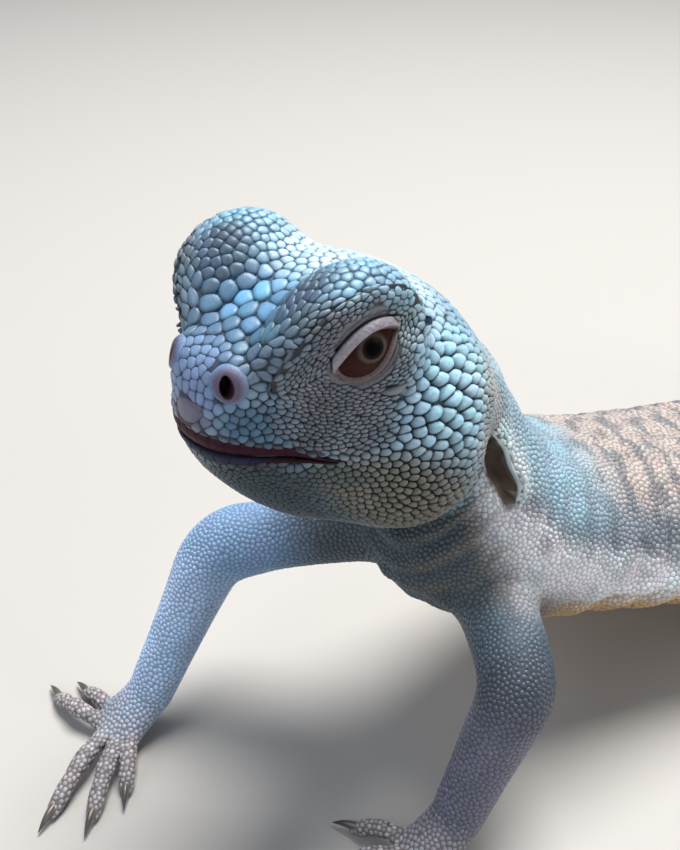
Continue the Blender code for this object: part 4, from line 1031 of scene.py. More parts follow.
def lidPatch(side):
    # from the lids' margin outwards over the eyeball: a rolled rim, a groove and folds, blended into the skin
    centre, facing, back, rise = eyeAxes(side)
    rows, sides = lidShape["rows"], lidShape["sides"]
    fineU, fineV = lidMargin(np.linspace(0, 2 * math.pi, 1441))
    arc = np.concatenate([[0], np.cumsum(np.hypot(np.diff(fineU), np.diff(fineV)))])
    want = np.arange(sides) / sides * arc[-1]
    edgeU, edgeV = np.interp(want, arc, fineU), np.interp(want, arc, fineV)
    outU, outV = np.roll(edgeV, -1) - np.roll(edgeV, 1), np.roll(edgeU, 1) - np.roll(edgeU, -1)
    kernel = np.hanning(23) / np.hanning(23).sum()
    outU, outV = (np.convolve(np.concatenate([w[-11:], w, w[:11]]), kernel, "valid") for w in (outU, outV))
    size = np.hypot(outU, outV)
    outU, outV = outU / size, outV / size
    t = np.linspace(0, 1, rows)[:, None]
    u, v = edgeU + outU * eye["patch"] * t, edgeV + outV * eye["patch"] * t
    r = np.maximum(np.hypot(u, v), 1e-6)
    alpha = r * eyeSpread
    way = (facing * np.cos(alpha)[..., None]
           + (back * (u / r)[..., None] + rise * (v / r)[..., None]) * np.sin(alpha)[..., None])
    ground = rawBody.reach(centre, way.reshape(-1, 3)).reshape(u.shape) + depth * 0.6
    upper = ease(outV, -0.2, 0.45)[None]
    front = ease(-outU, 0.3, 0.9)[None]
    broad = mixed(0.22, 0.40, ease(outV, -0.3, 0.8)[None]) * (1 - 0.5 * ease(-edgeU / eye["half"], 0.72, 1.0))
    rimHeight = mixed(0.55, 0.85, upper)
    rim = eye["radius"] - 0.25 + (rimHeight + 0.25) * ease(t, 0.0, 0.07)
    onLid = (rim + 0.25 * upper * np.sin(np.clip(t / broad, 0, 1) * math.pi)
             - mixed(0.45, 0.75, upper) * np.exp(-((t - broad) / 0.045) ** 2))
    blend = ease(t, broad * 0.9, 0.9)
    plain = centre + way * ground[..., None]
    wavy = t * lidShape["waves"] + 0.4 * wobble(plain, 9.0, 71) * t + 0.12 * wobble(plain, 3.5, 72) * ease(t, 0.3, 0.5)
    scaled = ease(t * eye["patch"] - bareRing(u, v), -0.15, 0.35)
    ridges = np.abs(np.sin(math.pi * wavy)) ** 0.6 - 0.55
    strong = ease(t, broad, broad + 0.06) * (1 - ease(t, 0.86, 0.97)) * (1 - 0.8 * scaled)
    fine = np.sin(t * 2 * math.pi * 15 + 0.6 * wobble(plain, 5.0, 73)) * (1 - strong) * upper * ease(t, 0.05, 0.1)
    folds = lidShape["ridge"] * (1 + 0.5 * wobble(plain, 4.0, 74)) * ridges * strong + 0.012 * fine
    folds = folds + 0.03 * wobble(plain, 0.9, 75) * upper * (1 - scaled)
    far = mixed(onLid, ground, blend) + folds - 1.4 * ease(t, 0.92, 1.0)
    points = (centre + way * far[..., None]).reshape(-1, 3)
    faces = turnedTo(points, ringFaces(rows, sides), slice(sides * 8, sides * 12), facing)
    tones = {name: np.array(tone) for name, tone in eye["tones"].items()}
    band = mixed(tones["lowerBand"], tones["upperBand"], upper[..., None])
    outer = mixed(tones["below"], tones["above"], upper[..., None])
    tone = mixed(band * np.ones_like(t)[..., None], outer, ease(t, broad - 0.02, broad + 0.05)[..., None])
    rimTone = mixed(tones["rim"], tones["corner"], (front * (1 - upper))[..., None])
    tone = mixed(rimTone, tone, ease(t, 0.03, 0.09)[..., None])
    # painted shade in the groove along the lid, and the folds painted lighter on their crests and darker in their
    # hollows
    tone = tone * (1 - 0.75 * np.exp(-((t - broad) / 0.035) ** 2))[..., None]
    tone = tone * (1 + mixed(0.9, 1.7, ease(-ridges, 0, 0.5)) * ridges * strong + 0.05 * fine)[..., None]
    tone = tone * (1 + 0.22 * wobble(plain, 1.1, 76) * wobble(plain, 2.3, 77))[..., None]
    # where scales cover the folds, the ground between them is darkened: partly painted shade in the gaps
    tone = mixed(tone, tones["fold"][3:] * 0.32, scaled[..., None])
    return points, faces, tone.reshape(-1, 3)


def lipStrip():
    # the mouth from corner to corner: two rows of low swellings with a groove between, found by rays from inside
    def onMouth(phi, q):
        a = np.full(phi.shape, 36.0)
        ways = np.stack([np.cos(phi), np.sin(phi), 0 * phi], -1)
        for _ in range(4):
            middle, half = smoothRows(a.ravel(), mouth["rows"]).T.reshape(2, *phi.shape)
            start = np.stack([np.full(phi.shape, 20.0), 0 * phi, middle + q * half], -1)
            hits = [rawBody.tree.ray_cast(p, w, 40.0)[3] for p, w in
                    zip(headPoint(start).reshape(-1, 3).tolist(), (ways @ headAxes).reshape(-1, 3).tolist())]
            reach = np.array(hits, float).reshape(phi.shape)
            a = 20.0 + reach * np.cos(phi)
        return start + ways * reach[..., None], half, ways

    rough = np.radians(np.linspace(-80, 80, 321))
    line = onMouth(rough, 0 * rough)[0]
    arc = np.concatenate([[0], np.cumsum(np.linalg.norm(np.diff(line, axis=0), axis=1))]) - 0.5
    arc -= arc[-1] / 2
    along = np.linspace(arc[0], arc[-1], 420)
    q, phi = np.meshgrid(np.linspace(-1.3, 1.3, 41), np.interp(along, arc, rough), indexing="ij")
    local, half, ways = onMouth(phi, q)
    room = np.clip(half / 0.9, 0.12, 1.0)
    line = mouth["line"]
    upper = ease(q, line, line + 0.06)
    swell = np.where(q > line, np.sin(np.clip((q - line) / (1.2 - line), 0, 1) * math.pi),
                     np.sin(np.clip((line - q) / (1.2 + line), 0, 1) * math.pi))
    upperPhase, lowerPhase = ((along / mouth[step] + 0.15 * wobble(along[:, None] * (1, 0, 0), scale, seed))[None]
                              for step, scale, seed in (("upperStep", 9.0, 61), ("lowerStep", 11.0, 62)))
    upperPhase, lowerPhase = upperPhase + 0.12 * q, lowerPhase - 0.10 * q + 0.3
    border = np.where(q > line, np.abs((upperPhase % 1) - 0.5) * mouth["upperStep"],
                      np.abs((lowerPhase % 1) - 0.5) * mouth["lowerStep"])
    border = np.abs(border - np.where(q > line, mouth["upperStep"], mouth["lowerStep"]) / 2)
    seam = np.exp(-(border / 0.2) ** 2) * np.clip(swell * 2, 0, 1) * mixed(1.0, 0.55, upper)
    height = (0.12 + mouth["swell"] * swell ** 0.7 - 0.14 * seam - 0.32 * np.exp(-((q - line) / 0.09) ** 2)) * room
    height -= 1.1 * ease(np.abs(q), 1.08, 1.3)
    points = headPoint(local + ways * height[..., None])
    count, sides = q.shape
    i, j = np.meshgrid(np.arange(count - 1), np.arange(sides - 1), indexing="ij")
    a, b, c, d = i * sides + j, (i + 1) * sides + j, (i + 1) * sides + j + 1, i * sides + j + 1
    faces = np.concatenate([np.stack([a, b, c], -1).reshape(-1, 3), np.stack([a, c, d], -1).reshape(-1, 3)])
    points = points.reshape(-1, 3)
    faces = turnedTo(points, faces, sides * 20 + sides // 2, headAxes[0])
    top, edge, lower, dark = (np.array(mouth[name]) for name in ("upperTone", "upperEdge", "lowerTone", "lineShade"))
    crown = (ease(q, 0.62, 0.98) * (0.25 + 0.75 * ease(border, 0.1, 0.6)))[..., None]
    lower = mixed(np.array(mouth["rearTone"]), lower, ease(local[..., 0], 31.5, 36.0)[..., None])
    # painted light: each lip lighter on its swell and darker towards its edges
    lower = lower * mixed(0.35, 1.25, np.clip(swell, 0, 1) ** 1.5)[..., None]
    top = mixed(top * mixed(0.7, 1.25, swell)[..., None], edge, crown * 0.55)
    tone = mixed(lower, top, upper[..., None])
    # painted shade in the groove between the lips, in the seams between lip scales, and where the strip tucks under
    # the skin
    tone = mixed(tone, dark, np.exp(-((q - line) / 0.10) ** 2)[..., None])
    tone = tone * (1 - 0.5 * seam)[..., None]
    tone = mixed(tone, dark * 2, ease(-q, 0.85, 1.05)[..., None])
    return points, faces, tone.reshape(-1, 3)


def nostrilRing(side):
    # round the nostril: from inside the pit, over a swollen rim that is widest behind, down to the skin and under it
    centre, facing, up, across = nostrilAxes(side, rawBody)
    rows, sides = 20, 56
    t = np.linspace(0, 1, rows)[:, None]
    phi = (np.arange(sides) * 2 * math.pi / sides)[None]
    wide, tall = nostril["pit"]
    inner = 1 / np.hypot(np.cos(phi) / wide, np.sin(phi) / tall) * (1 - 0.18 * np.sin(phi))
    behind = ease(-np.cos(phi) * side, -0.6, 0.8)
    outer = mixed(nostril["ring"] * 0.85, nostril["ring"] * 1.15, behind)
    reach = mixed(inner * (0.45 + 0.55 * ease(t, 0, 0.2)), outer, ease(t, 0.12, 1.0))
    flat = centre + reach[..., None] * (across * np.cos(phi)[..., None] + up * np.sin(phi)[..., None])
    ground = 12.0 - rawBodyReach(flat.reshape(-1, 3) + facing * 12.0, -facing).reshape(reach.shape)
    swollen = np.sin(np.clip((t - 0.12) / 0.8, 0, 1) * math.pi) ** 0.8
    height = -2.2 * (1 - ease(t, 0, 0.22)) + mixed(0.2, 0.5, behind) * swollen - 0.9 * ease(t, 0.86, 1.0)
    points = (flat + facing * (ground + height)[..., None]).reshape(-1, 3)
    faces = turnedTo(points, ringFaces(rows, sides), slice(sides * 8, sides * 12), facing)
    dark, flesh, outside = (np.array(nostril[name]) for name in ("dark", "flesh", "outside"))
    # dark: painted shade deep in the pit
    tone = mixed(dark, flesh, ease(t, 0.12, 0.3)[..., None]) * np.ones_like(phi)[..., None]
    tone = mixed(tone, outside, ease(t, 0.45, 0.85)[..., None])
    return points, faces, tone.reshape(-1, 3)


def earFold(side):
    # a thin smooth roll of skin along the rear edge of the ear's slit, thickest at its middle
    t = np.linspace(-0.97, 0.97, 61)
    fade = 1 - t ** 2
    slant = math.radians(ear["slant"])
    across = ear["bow"] * t ** 2 - ear["half"][0] * np.sqrt(fade) - 0.5
    along = t * ear["half"][1]
    flat = np.stack([along * math.sin(slant) + across * math.cos(slant), 0 * t,
                     along * math.cos(slant) - across * math.sin(slant)], -1) + (ear["place"][0], 0, ear["place"][2])
    left = (headAxes[1] * side).tolist()
    reach = np.array([skin.tree.ray_cast(p, left, 60.0)[3] for p in headPoint(flat).tolist()], float)
    path = headPoint(flat + np.outer(reach, (0, side, 0)))
    path = np.stack([np.convolve(np.pad(path[:, k], 4, "edge"), np.full(9, 1 / 9), "valid") for k in range(3)], -1)
    wide = ear["roll"] * fade ** 0.6 + 0.05
    points, faces = tube(sweep(path, wide, wide * 0.8, 14))
    # the fold's pale tone, partly painted highlight
    tone = np.array(ear["foldTone"]) * (0.8 + 0.1 * wobble(points, 2.0, 81))[:, None]
    return points, faces, tone


def rawBodyReach(starts, way):
    # how far each start lies from the body's own surface along the way
    hits = [rawBody.tree.ray_cast(p, way.tolist(), 30.0) for p in starts.tolist()]
    return np.array([h[3] if h[3] is not None else 12.0 for h in hits])


def eyeball(side):
    # rings round the gaze: pupil, iris with a raised clear front, and the dark rest of the ball
    centre = eyeAxes(side)[0]
    gaze = unit(np.array(eye["gaze"]) * (1, side, 1) @ headAxes)
    first = unit(np.cross(gaze, (0.0, 0.0, 1.0)))
    second = np.cross(gaze, first)
    rows, sides = 72, 72
    turnOut = np.linspace(0.02, math.pi - 0.02, rows)[:, None]
    phi = (np.arange(sides) * 2 * math.pi / sides)[None]
    arc = turnOut * eye["radius"]
    radius = eye["radius"] + 0.25 * (1 - ease(arc, 1.2, 2.8))
    way = (gaze * np.cos(turnOut)[..., None]
           + (first * np.cos(phi)[..., None] + second * np.sin(phi)[..., None]) * np.sin(turnOut)[..., None])
    rings = centre + way * (radius * np.ones_like(phi))[..., None]
    points, faces = tube(rings)
    pupil, iris, pale, rest = (np.array(c) for c in ((0.0012, 0.001, 0.0012), (0.016, 0.009, 0.008),
                                                     (0.09, 0.068, 0.06), (0.040, 0.015, 0.012)))
    rayed = 1 + 0.3 * np.sin(phi * 23) * np.sin(phi * 7 + 1)
    around = np.ones_like(phi)[..., None]
    tone = mixed(pupil, iris * rayed[..., None], ease(arc, eye["pupil"] - 0.1, eye["pupil"] + 0.12)[..., None])
    tone = mixed(tone, pale * around, ease(arc, eye["iris"] - 0.1, eye["iris"] + 0.15)[..., None])
    tone = mixed(tone, rest * around, ease(arc, eye["ring"] - 0.15, eye["ring"] + 0.35)[..., None])
    tone = np.concatenate([tone.reshape(-1, 3), pupil[None], rest[None]])
    return points, faces, tone


def clawShape(root, radius, way):
    # a curved cone, flatter at the sides, that ends just over the floor
    t = np.linspace(0, 1, 12)
    length = limbShape["claw"]
    start = root - way * 1.2 + np.array((0, 0, 0.25))
    rise = 0.9 * np.sin(t * math.pi * 0.75)
    path = start + np.outer(t * length, way)
    path[:, 2] = mixed(start[2], limbShape["clawTip"] * 0.6, t ** 1.4) + rise * 0.8
    widths = limbShape["clawRadius"] * (1 - t ** 1.6) * 0.82 + 0.07
    heights = limbShape["clawRadius"] * (1 - t ** 1.5) * 1.1 + 0.07
    points, faces = tube(sweep(path, widths, heights, 12, roundEnd=0.07))
    share = np.clip((points - start) @ way / length, 0, 1)[:, None]
    return points, faces, mixed(np.array((0.20, 0.17, 0.15)), np.array((0.035, 0.03, 0.03)), share ** 0.6)


def joinShapes(shapes):
    # several (points, faces, tint) as one
    offset = np.cumsum([0] + [len(p) for p, _, _ in shapes[:-1]])
    points, faces, tint = zip(*shapes)
    return np.concatenate(points), np.concatenate([f + o for f, o in zip(faces, offset)]), np.concatenate(tint)


uvPatch = 0.0015  # half the width of a scale's own patch in the unwrap


def tailSpines():
    # on every whorl's edge a ring of keeled scales, each drawn out behind into a spine
    draw = np.random.default_rng(31)
    pitch = (tail["last"] - tail["first"]) / (tail["whorls"] - 1)
    spots, angles, spread = [], [], []
    for k in range(tail["whorls"]):
        s = tail["first"] + pitch * k
        ring = bodyPoints(np.full(241, s - 0.05), np.linspace(0, 2 * math.pi, 241))
        arc = np.concatenate([[0], np.cumsum(np.linalg.norm(np.diff(ring, axis=0), axis=1))])
        count = max(9, round(arc[-1] / tail["spacing"]))
        at = (np.arange(count) + 0.5 * (k % 2) + draw.uniform(-0.1, 0.1, count)) / count * arc[-1]
        angles.append(np.interp(at % arc[-1], arc, np.linspace(0, 2 * math.pi, 241)))
        spots.append(np.full(count, s))
        spread.append(np.full(count, arc[-1] / count))
    s, angle, spread = np.concatenate(spots), np.concatenate(angles), np.concatenate(spread)
    count = len(s)
    top = ease(np.sin(angle), -0.75, 0.1)
    length = smoothRows(s, tail["lengths"])[:, 0] * mixed(0.35, 1.0, top)
    length = length * draw.uniform(1 - tail["variation"], 1 + tail["variation"], count)
    lift = np.radians(tail["lift"]) * mixed(0.1, 1.0, top) * draw.uniform(0.8, 1.2, count)
    u = np.linspace(0, 1, 9)
    backS = s[:, None] - pitch * 0.82 * (1 - np.clip(u / 0.6, 0, 1))[None]
    turns = np.repeat(angle[:, None], 9, 1)
    centre = bodyPoints(backS, turns, -0.1)
    ahead = bodyPoints(backS + 0.5, turns, -0.1)
    beside = bodyPoints(backS, turns + 0.03, -0.1)
    way, across = unit(ahead - centre), unit(beside - centre)
    normal = unit(np.cross(across, way))
    outward = bodyPoints(backS, turns, 1.0) - centre
    normal *= np.sign((normal * outward).sum(-1))[..., None]
    free = np.clip((u - 0.6) / 0.4, 0, 1)[None, :, None]
    rise = np.sin(lift)[:, None, None]
    centre = centre + (way * np.cos(lift)[:, None, None] + normal * rise) * length[:, None, None] * free
    width = spread[:, None] * tail["width"] * (np.clip(u / 0.25, 0, 1) ** 0.5 * (1 - free[..., 0]) ** 0.75 + 0.02)
    keel = (0.25 + 1.1 * np.clip(u / 0.6, 0, 1) * (1 - free[..., 0]) ** 0.8 + 0.05) * mixed(0.5, 1.0, top)[:, None]
    outline = np.array([(1.0, -0.5), (0.72, 0.12), (0.32, 0.5), (0.0, 1.0),
                        (-0.32, 0.5), (-0.72, 0.12), (-1.0, -0.5), (0.0, -0.7)])
    rings = (centre[:, :, None]
             + across[:, :, None] * (width[:, :, None] * outline[None, None, :, 0])[..., None] * 0.5
             + normal[:, :, None] * (keel[:, :, None] * outline[None, None, :, 1])[..., None])
    sides = len(outline)
    one = ringFaces(9, sides)
    cap = np.array([(0, k + 1, k) for k in range(1, sides - 1)])
    one = np.concatenate([one, cap[:, ::-1], cap + 8 * sides])
    points = rings.reshape(-1, 3)
    points[:, 2] = np.maximum(points[:, 2], 0.15)
    p = points[:9 * sides][one]
    volume = np.einsum("ij,ij->i", p[:, 0] - p[0, 0], np.cross(p[:, 1] - p[0, 0], p[:, 2] - p[0, 0])).sum()
    one = one if volume > 0 else one[:, ::-1]
    faces = (one[None] + (np.arange(count) * 9 * sides)[:, None, None]).reshape(-1, 3)
    light, dark = (np.array(c) for c in skinColours["spine"])
    shade = (0.35 + 0.65 * np.clip(outline[:, 1], 0, 1))[None, None, :, None] * mixed(0.75, 1.2, free)[:, :, None]
    tone = mixed(dark, light, np.clip(shade * np.ones((count, 1, 1, 1)), 0, 1))
    tone = tone * draw.uniform(0.82, 1.12, (count, 1, 1, 1))
    uvRoot = np.stack([0.01 + 0.62 * s / body["length"], 0.01 + 0.97 * (angle / (2 * math.pi) % 1)], -1)
    spread = np.stack(np.broadcast_arrays((2 * u - 1)[None, :, None], outline[None, None, :, 0]), -1)
    uv = uvRoot[:, None, None] + uvPatch * spread
    return points, faces, tone.reshape(-1, 3), uv.reshape(-1, 2)


def thrown(surface, tries, seed, keep):
    # many more points than scales, at random over the part that is kept, closer where scales are small
    draw = np.random.default_rng(seed)
    a, b, c = (surface.points[surface.faces[:, k]] for k in range(3))
    middle = (a + b + c) / 3
    use = np.flatnonzero(keep(middle))
    areas = np.linalg.norm(np.cross(b - a, c - a), axis=1)[use] / 2
    sizes = sizesOf(middle[use])
    chance = areas / sizes ** 2
    total = int(chance.sum() * 1.16 * tries)
    picked = use[draw.choice(len(use), total, p=chance / chance.sum())]
    r1, r2 = np.sqrt(draw.random(total))[:, None], draw.random(total)[:, None]
    return a[picked] * (1 - r1) + b[picked] * r1 * (1 - r2) + c[picked] * r1 * r2


def thinned(points, sizes):
    # keeps a point only when no kept one is nearer than a share of a scale's width
    tree = treeOf(points)
    alive = np.ones(len(points), bool)
    kept = np.zeros(len(points), bool)
    for k in range(len(points)):
        if alive[k]:
            kept[k] = True
            for _, other, _ in tree.find_range(points[k], sizes[k] * coat["apart"]):
                alive[other] = False
    return kept


def neighboursOf(points, normals, count):
    # the nearest other points on the same side of the skin
    tree = treeOf(points)
    found = np.array([[hit[1] for hit in tree.find_n(p, count + 1)] for p in points.tolist()])[:, 1:]
    gaps = points[found] - points[:, None]
    same = (normals[found] * normals[:, None]).sum(-1) > 0.2
    return found, gaps, same


def alongGrain(gaps, normals, grain):
    # gaps to neighbours in the plane of the skin, squeezed along the way the scales run
    ways, long = grain
    first = unit(ways - normals * (ways * normals).sum(-1, keepdims=True))
    second = np.cross(normals, first)
    root = np.sqrt(long)
    x = (gaps * first[:, None]).sum(-1) / root[:, None]
    y = (gaps * second[:, None]).sum(-1) * root[:, None]
    return first, second, root, x, y


def relaxed(surface, points, sizes, rounds, pace, resize=False):
    # neighbours push each other away until they stand a scale's width apart
    normals = surface.nearest(points)[1]
    facts = factsAt(points)
    for _ in range(rounds):
        grain = grainAt(points, facts)
        found, gaps, same = neighboursOf(points, normals, 7)
        x, y = alongGrain(gaps, normals, grain)[3:]
        far = np.maximum(np.hypot(x, y), 1e-6)
        want = (sizes[:, None] + sizes[found]) / 2 * 1.03
        push = np.clip(want - far, 0, None) / far * same
        points = points - (gaps * push[..., None]).sum(1) * pace
        points, normals = surface.nearest(points)
        if resize:
            facts = factsAt(points)
            sizes = sizeAt(points, facts)
    return points, normals, sizes


def buildScales(surface, points, normals, sizes, facts, grain, look, seed):
    # each scale fills its share of the ground between its neighbours, as a low dome with its own outline
    draw = np.random.default_rng(seed)
    sides, profile = look["sides"], np.array(look["profile"])
    count = len(points)
    found, gaps, same = neighboursOf(points, normals, 10)
    first, second, root, x, y = alongGrain(gaps, normals, grain)
    far = np.where(same, np.hypot(x, y), 99.0)
    share = sizes[:, None] / (sizes[:, None] + sizes[found])
    angles = np.arange(sides) * 2 * math.pi / sides + draw.uniform(0, 2 * math.pi / sides, count)[:, None]
    turned = np.cos(angles[:, :, None] - np.arctan2(y, x)[:, None])
    bound = far[:, None] * share[:, None] / np.maximum(turned, 0.1)
    reach = (bound ** -look["corners"]).sum(-1) ** (-1 / look["corners"])
    reach = reach * look["fill"] - (look["gap"](points) * sizes)[:, None]
    reach = np.clip(reach, sizes[:, None] * 0.16, sizes[:, None] * look["most"])
    flatRim = (first[:, None] * (np.cos(angles) * reach * root[:, None])[..., None]
               + second[:, None] * (np.sin(angles) * reach / root[:, None])[..., None])
    rim = surface.nearest((points[:, None] + flatRim).reshape(-1, 3))[0].reshape(count, sides, 3) - points[:, None]
    low = (rim * normals[:, None]).sum(-1, keepdims=True)
    side = rim - normals[:, None] * low
    tooFar = np.linalg.norm(rim - flatRim, axis=-1, keepdims=True) > reach[..., None] * 0.8
    side, low = np.where(tooFar, flatRim, side), np.where(tooFar, 0, low)
    height = look["height"](points, facts, sizes) * draw.uniform(0.85, 1.15, count)
    tilt = look["tilt"](points, facts) * sizes
    t = profile[:, 0][None, :, None, None]
    lift = profile[:, 1][None, :, None] * height[:, None, None] + profile[:, 2][None, :, None]
    lift = lift + (tilt[:, None, None] * np.cos(angles)[:, None] * t[..., 0]) * (profile[:, 1] > 0)[None, :, None]
    risen = low[:, None] * t * t + lift[..., None]
    rings = points[:, None, None] + side[:, None] * t + normals[:, None, None] * risen
    peak = first * (look["peak"](points) * sizes * root)[:, None]
    rings = rings + peak[:, None, None] * (1 - t ** 2)
    tops = points + normals * height[:, None] + peak
    shapes = np.concatenate([rings.reshape(count, -1, 3), tops[:, None]], 1)
    rows, each = len(profile), len(profile) * sides + 1
    fan = np.stack([(np.arange(sides) + 1) % sides, np.arange(sides)], -1) + (rows - 1) * sides
    one = np.concatenate([ringFaces(rows, sides), np.column_stack([fan, np.full(sides, each - 1)])])
    test = shapes[0][one]
    if (np.cross(test[:, 1] - test[:, 0], test[:, 2] - test[:, 0]) @ normals[0]).sum() < 0:
        one = one[:, ::-1]
    middle, edge = colourAt(points, facts)
    hue = 0.06 * wobble(points, 7.0, 51)[:, None] * (1.0, -0.25, 0.1)
    bright = draw.normal(1, look["variety"], (count, 1, 1)) * (1 + hue + 0.015 * draw.normal(size=(count, 3)))[:, None]
    # Painted shade and light: each ring darkened by the profile's last column, most at the rim, less where soft; lean
    # paints each scale lighter at its rear, darker at its front
    blend = np.append(profile[:, 3], 1.0)[None, :, None]
    dark = mixed(np.append(profile[:, 4], 1.0)[None, :, None], 1.0, look["soft"](points)[:, None, None])
    ringTint = mixed(edge[:, None], middle[:, None], blend) * dark * bright
    lean = 1 + (look["lean"](points)[:, None, None] * np.cos(angles)[:, None] * t[..., 0])[..., None]
    tint = np.concatenate([(ringTint[:, :rows, None] * lean).reshape(count, -1, 3), ringTint[:, rows:]], 1)
    disc = (t[0] * np.stack([np.cos(angles), np.sin(angles)], -1)[:, None]).reshape(count, -1, 2)
    uv = facts[:, None, 3:5] + uvPatch * np.concatenate([disc, np.zeros((count, 1, 2))], 1)
    shapes[..., 2] = np.maximum(shapes[..., 2], 0.1)
    faces = one[None] + (np.arange(count) * each)[:, None, None]
    return shapes.reshape(-1, 3), faces.reshape(-1, 3), tint.reshape(-1, 3), uv.reshape(-1, 2), each, len(one)


def addNoise(nodes, links, scale, detail, roughness):
    place = nodes.new("ShaderNodeTexCoord")
    noise = nodes.new("ShaderNodeTexNoise")
    noise.inputs["Scale"].default_value = scale
    noise.inputs["Detail"].default_value = detail
    noise.inputs["Roughness"].default_value = roughness
    links.new(place.outputs["Object"], noise.inputs["Vector"])
    return noise.outputs["Fac"]


def skinMaterial(name, settings):
    # the painted tint, broken up by a fine and a broad noise, with grain in the bump and the sheen
    material = bpy.data.materials.new(name)
    material.use_nodes = True
    nodes, links = material.node_tree.nodes, material.node_tree.links
    shader = nodes["Principled BSDF"]
    tint = nodes.new("ShaderNodeAttribute")
    tint.attribute_name = "tint"
    fine = addNoise(nodes, links, settings["fine"], 4.0, 0.6)
    spread = nodes.new("ShaderNodeMapRange")
    spread.inputs["To Min"].default_value = 1 - settings["mottle"]
    spread.inputs["To Max"].default_value = 1 + settings["mottle"]
    links.new(fine, spread.inputs["Value"])
    scaled = nodes.new("ShaderNodeVectorMath")
    scaled.operation = "SCALE"
    links.new(tint.outputs["Color"], scaled.inputs[0])
    links.new(spread.outputs["Result"], scaled.inputs["Scale"])
    links.new(scaled.outputs["Vector"], shader.inputs["Base Color"])
    sheen = nodes.new("ShaderNodeMapRange")
    sheen.inputs["To Min"].default_value = settings["roughness"] - 0.1
    sheen.inputs["To Max"].default_value = settings["roughness"] + 0.12
    links.new(addNoise(nodes, links, settings["fine"] * 0.3, 3.0, 0.5), sheen.inputs["Value"])
    links.new(sheen.outputs["Result"], shader.inputs["Roughness"])
    bump = nodes.new("ShaderNodeBump")
    bump.inputs["Strength"].default_value = settings["bump"]
    bump.inputs["Distance"].default_value = 0.0002
    links.new(addNoise(nodes, links, settings["grain"], 3.0, 0.6), bump.inputs["Height"])
    links.new(bump.outputs["Normal"], shader.inputs["Normal"])
    shader.inputs["Specular IOR Level"].default_value = settings["shine"]
    shader.inputs["Coat Weight"].default_value = settings["coat"]
    shader.inputs["Coat Roughness"].default_value = settings["coatRoughness"]
    shader.inputs["Subsurface Weight"].default_value = settings["soft"]
    shader.inputs["Subsurface Radius"].default_value = (0.6, 0.4, 0.35)
    shader.inputs["Subsurface Scale"].default_value = 0.002
    return material


# fine noise, mottle, roughness, bump, grain of the bump, coat, coat's roughness, softness and shine
columns = ("fine", "mottle", "roughness", "bump", "grain", "coat", "coatRoughness", "soft", "shine")
materialRows = {
    "skin": ("reptile_skin", 900.0, 0.18, 0.55, 0.5, 2600.0, 0.0, 0.3, 0.08, 0.5),
    "scale": ("reptile_scale", 1500.0, 0.22, 0.42, 0.25, 4200.0, 0.12, 0.28, 0.05, 0.5),
    "lid": ("eyelid_skin", 1600.0, 0.2, 0.48, 0.5, 3600.0, 0.05, 0.3, 0.12, 0.5),
    "lip": ("lip_skin", 1800.0, 0.3, 0.5, 0.35, 4000.0, 0.0, 0.25, 0.0, 0.12),
    "eye": ("wet_eye", 1400.0, 0.35, 0.22, 0.0, 2000.0, 0.0, 0.04, 0.0, 0.03),
    "claw": ("dark_claw", 700.0, 0.25, 0.32, 0.2, 1800.0, 0.3, 0.2, 0.0, 0.5),
    "spine": ("horny_spine", 1200.0, 0.25, 0.5, 0.4, 2600.0, 0.05, 0.3, 0.0, 0.5),
}
materials = {key: skinMaterial(row[0], dict(zip(columns, row[1:]))) for key, row in materialRows.items()}


def addPiece(name, shape, material, nodes=()):
    item = newPiece(name, *shape)
    item.data.materials.append(materials[material])
    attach(item, "root")
    if nodes:
        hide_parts(*nodes)
    return item


skinFacts = factsAt(skinPoints)
edgeTint = colourAt(skinPoints, skinFacts)[1]
behind = ease(skinFacts[:, 1], 50, 60) * (skinFacts[:, 0] == 0) + (skinFacts[:, 0] > 0)
# the skin between scales: its edge colour darkened, most on the head, partly the skin's own darker tone, partly
# painted shade in the gaps
skinTint = edgeTint * mixed(0.32, 0.7, behind)[:, None]
fleshNodes = [n for n in frame["nodes"] if not n.startswith("eye")]
addPiece("skin", (skinPoints, skinFaces, skinTint), "skin", fleshNodes)

lids = {side: lidPatch(side) for side in (1, -1)}
rims = {side: nostrilRing(side) for side in (1, -1)}
for side, word in ((1, "left"), (-1, "right")):
    addPiece("eyeball_" + word, eyeball(side), "eye", ["eye_" + word])
    addPiece("eyelids_" + word, lids[side], "lid")
addPiece("nostril_rims", joinShapes([rims[1], rims[-1]]), "lid")
addPiece("lips", lipStrip(), "lip")
addPiece("ear_folds", joinShapes([earFold(1), earFold(-1)]), "lid")
addPiece("claws", joinShapes([clawShape(*c) for roots in clawRoots.values() for c in roots]), "claw")
addPiece("tail_spines", tailSpines(), "spine")
stage("eyes, lids, nostrils, claws and spines")


def reachOf(tree, centre, ways):
    # how far from the centre a tree's faces lie along each way, 0 where there are none
    return np.array([tree.ray_cast(centre.tolist(), way)[3] or 0.0 for way in ways.tolist()])


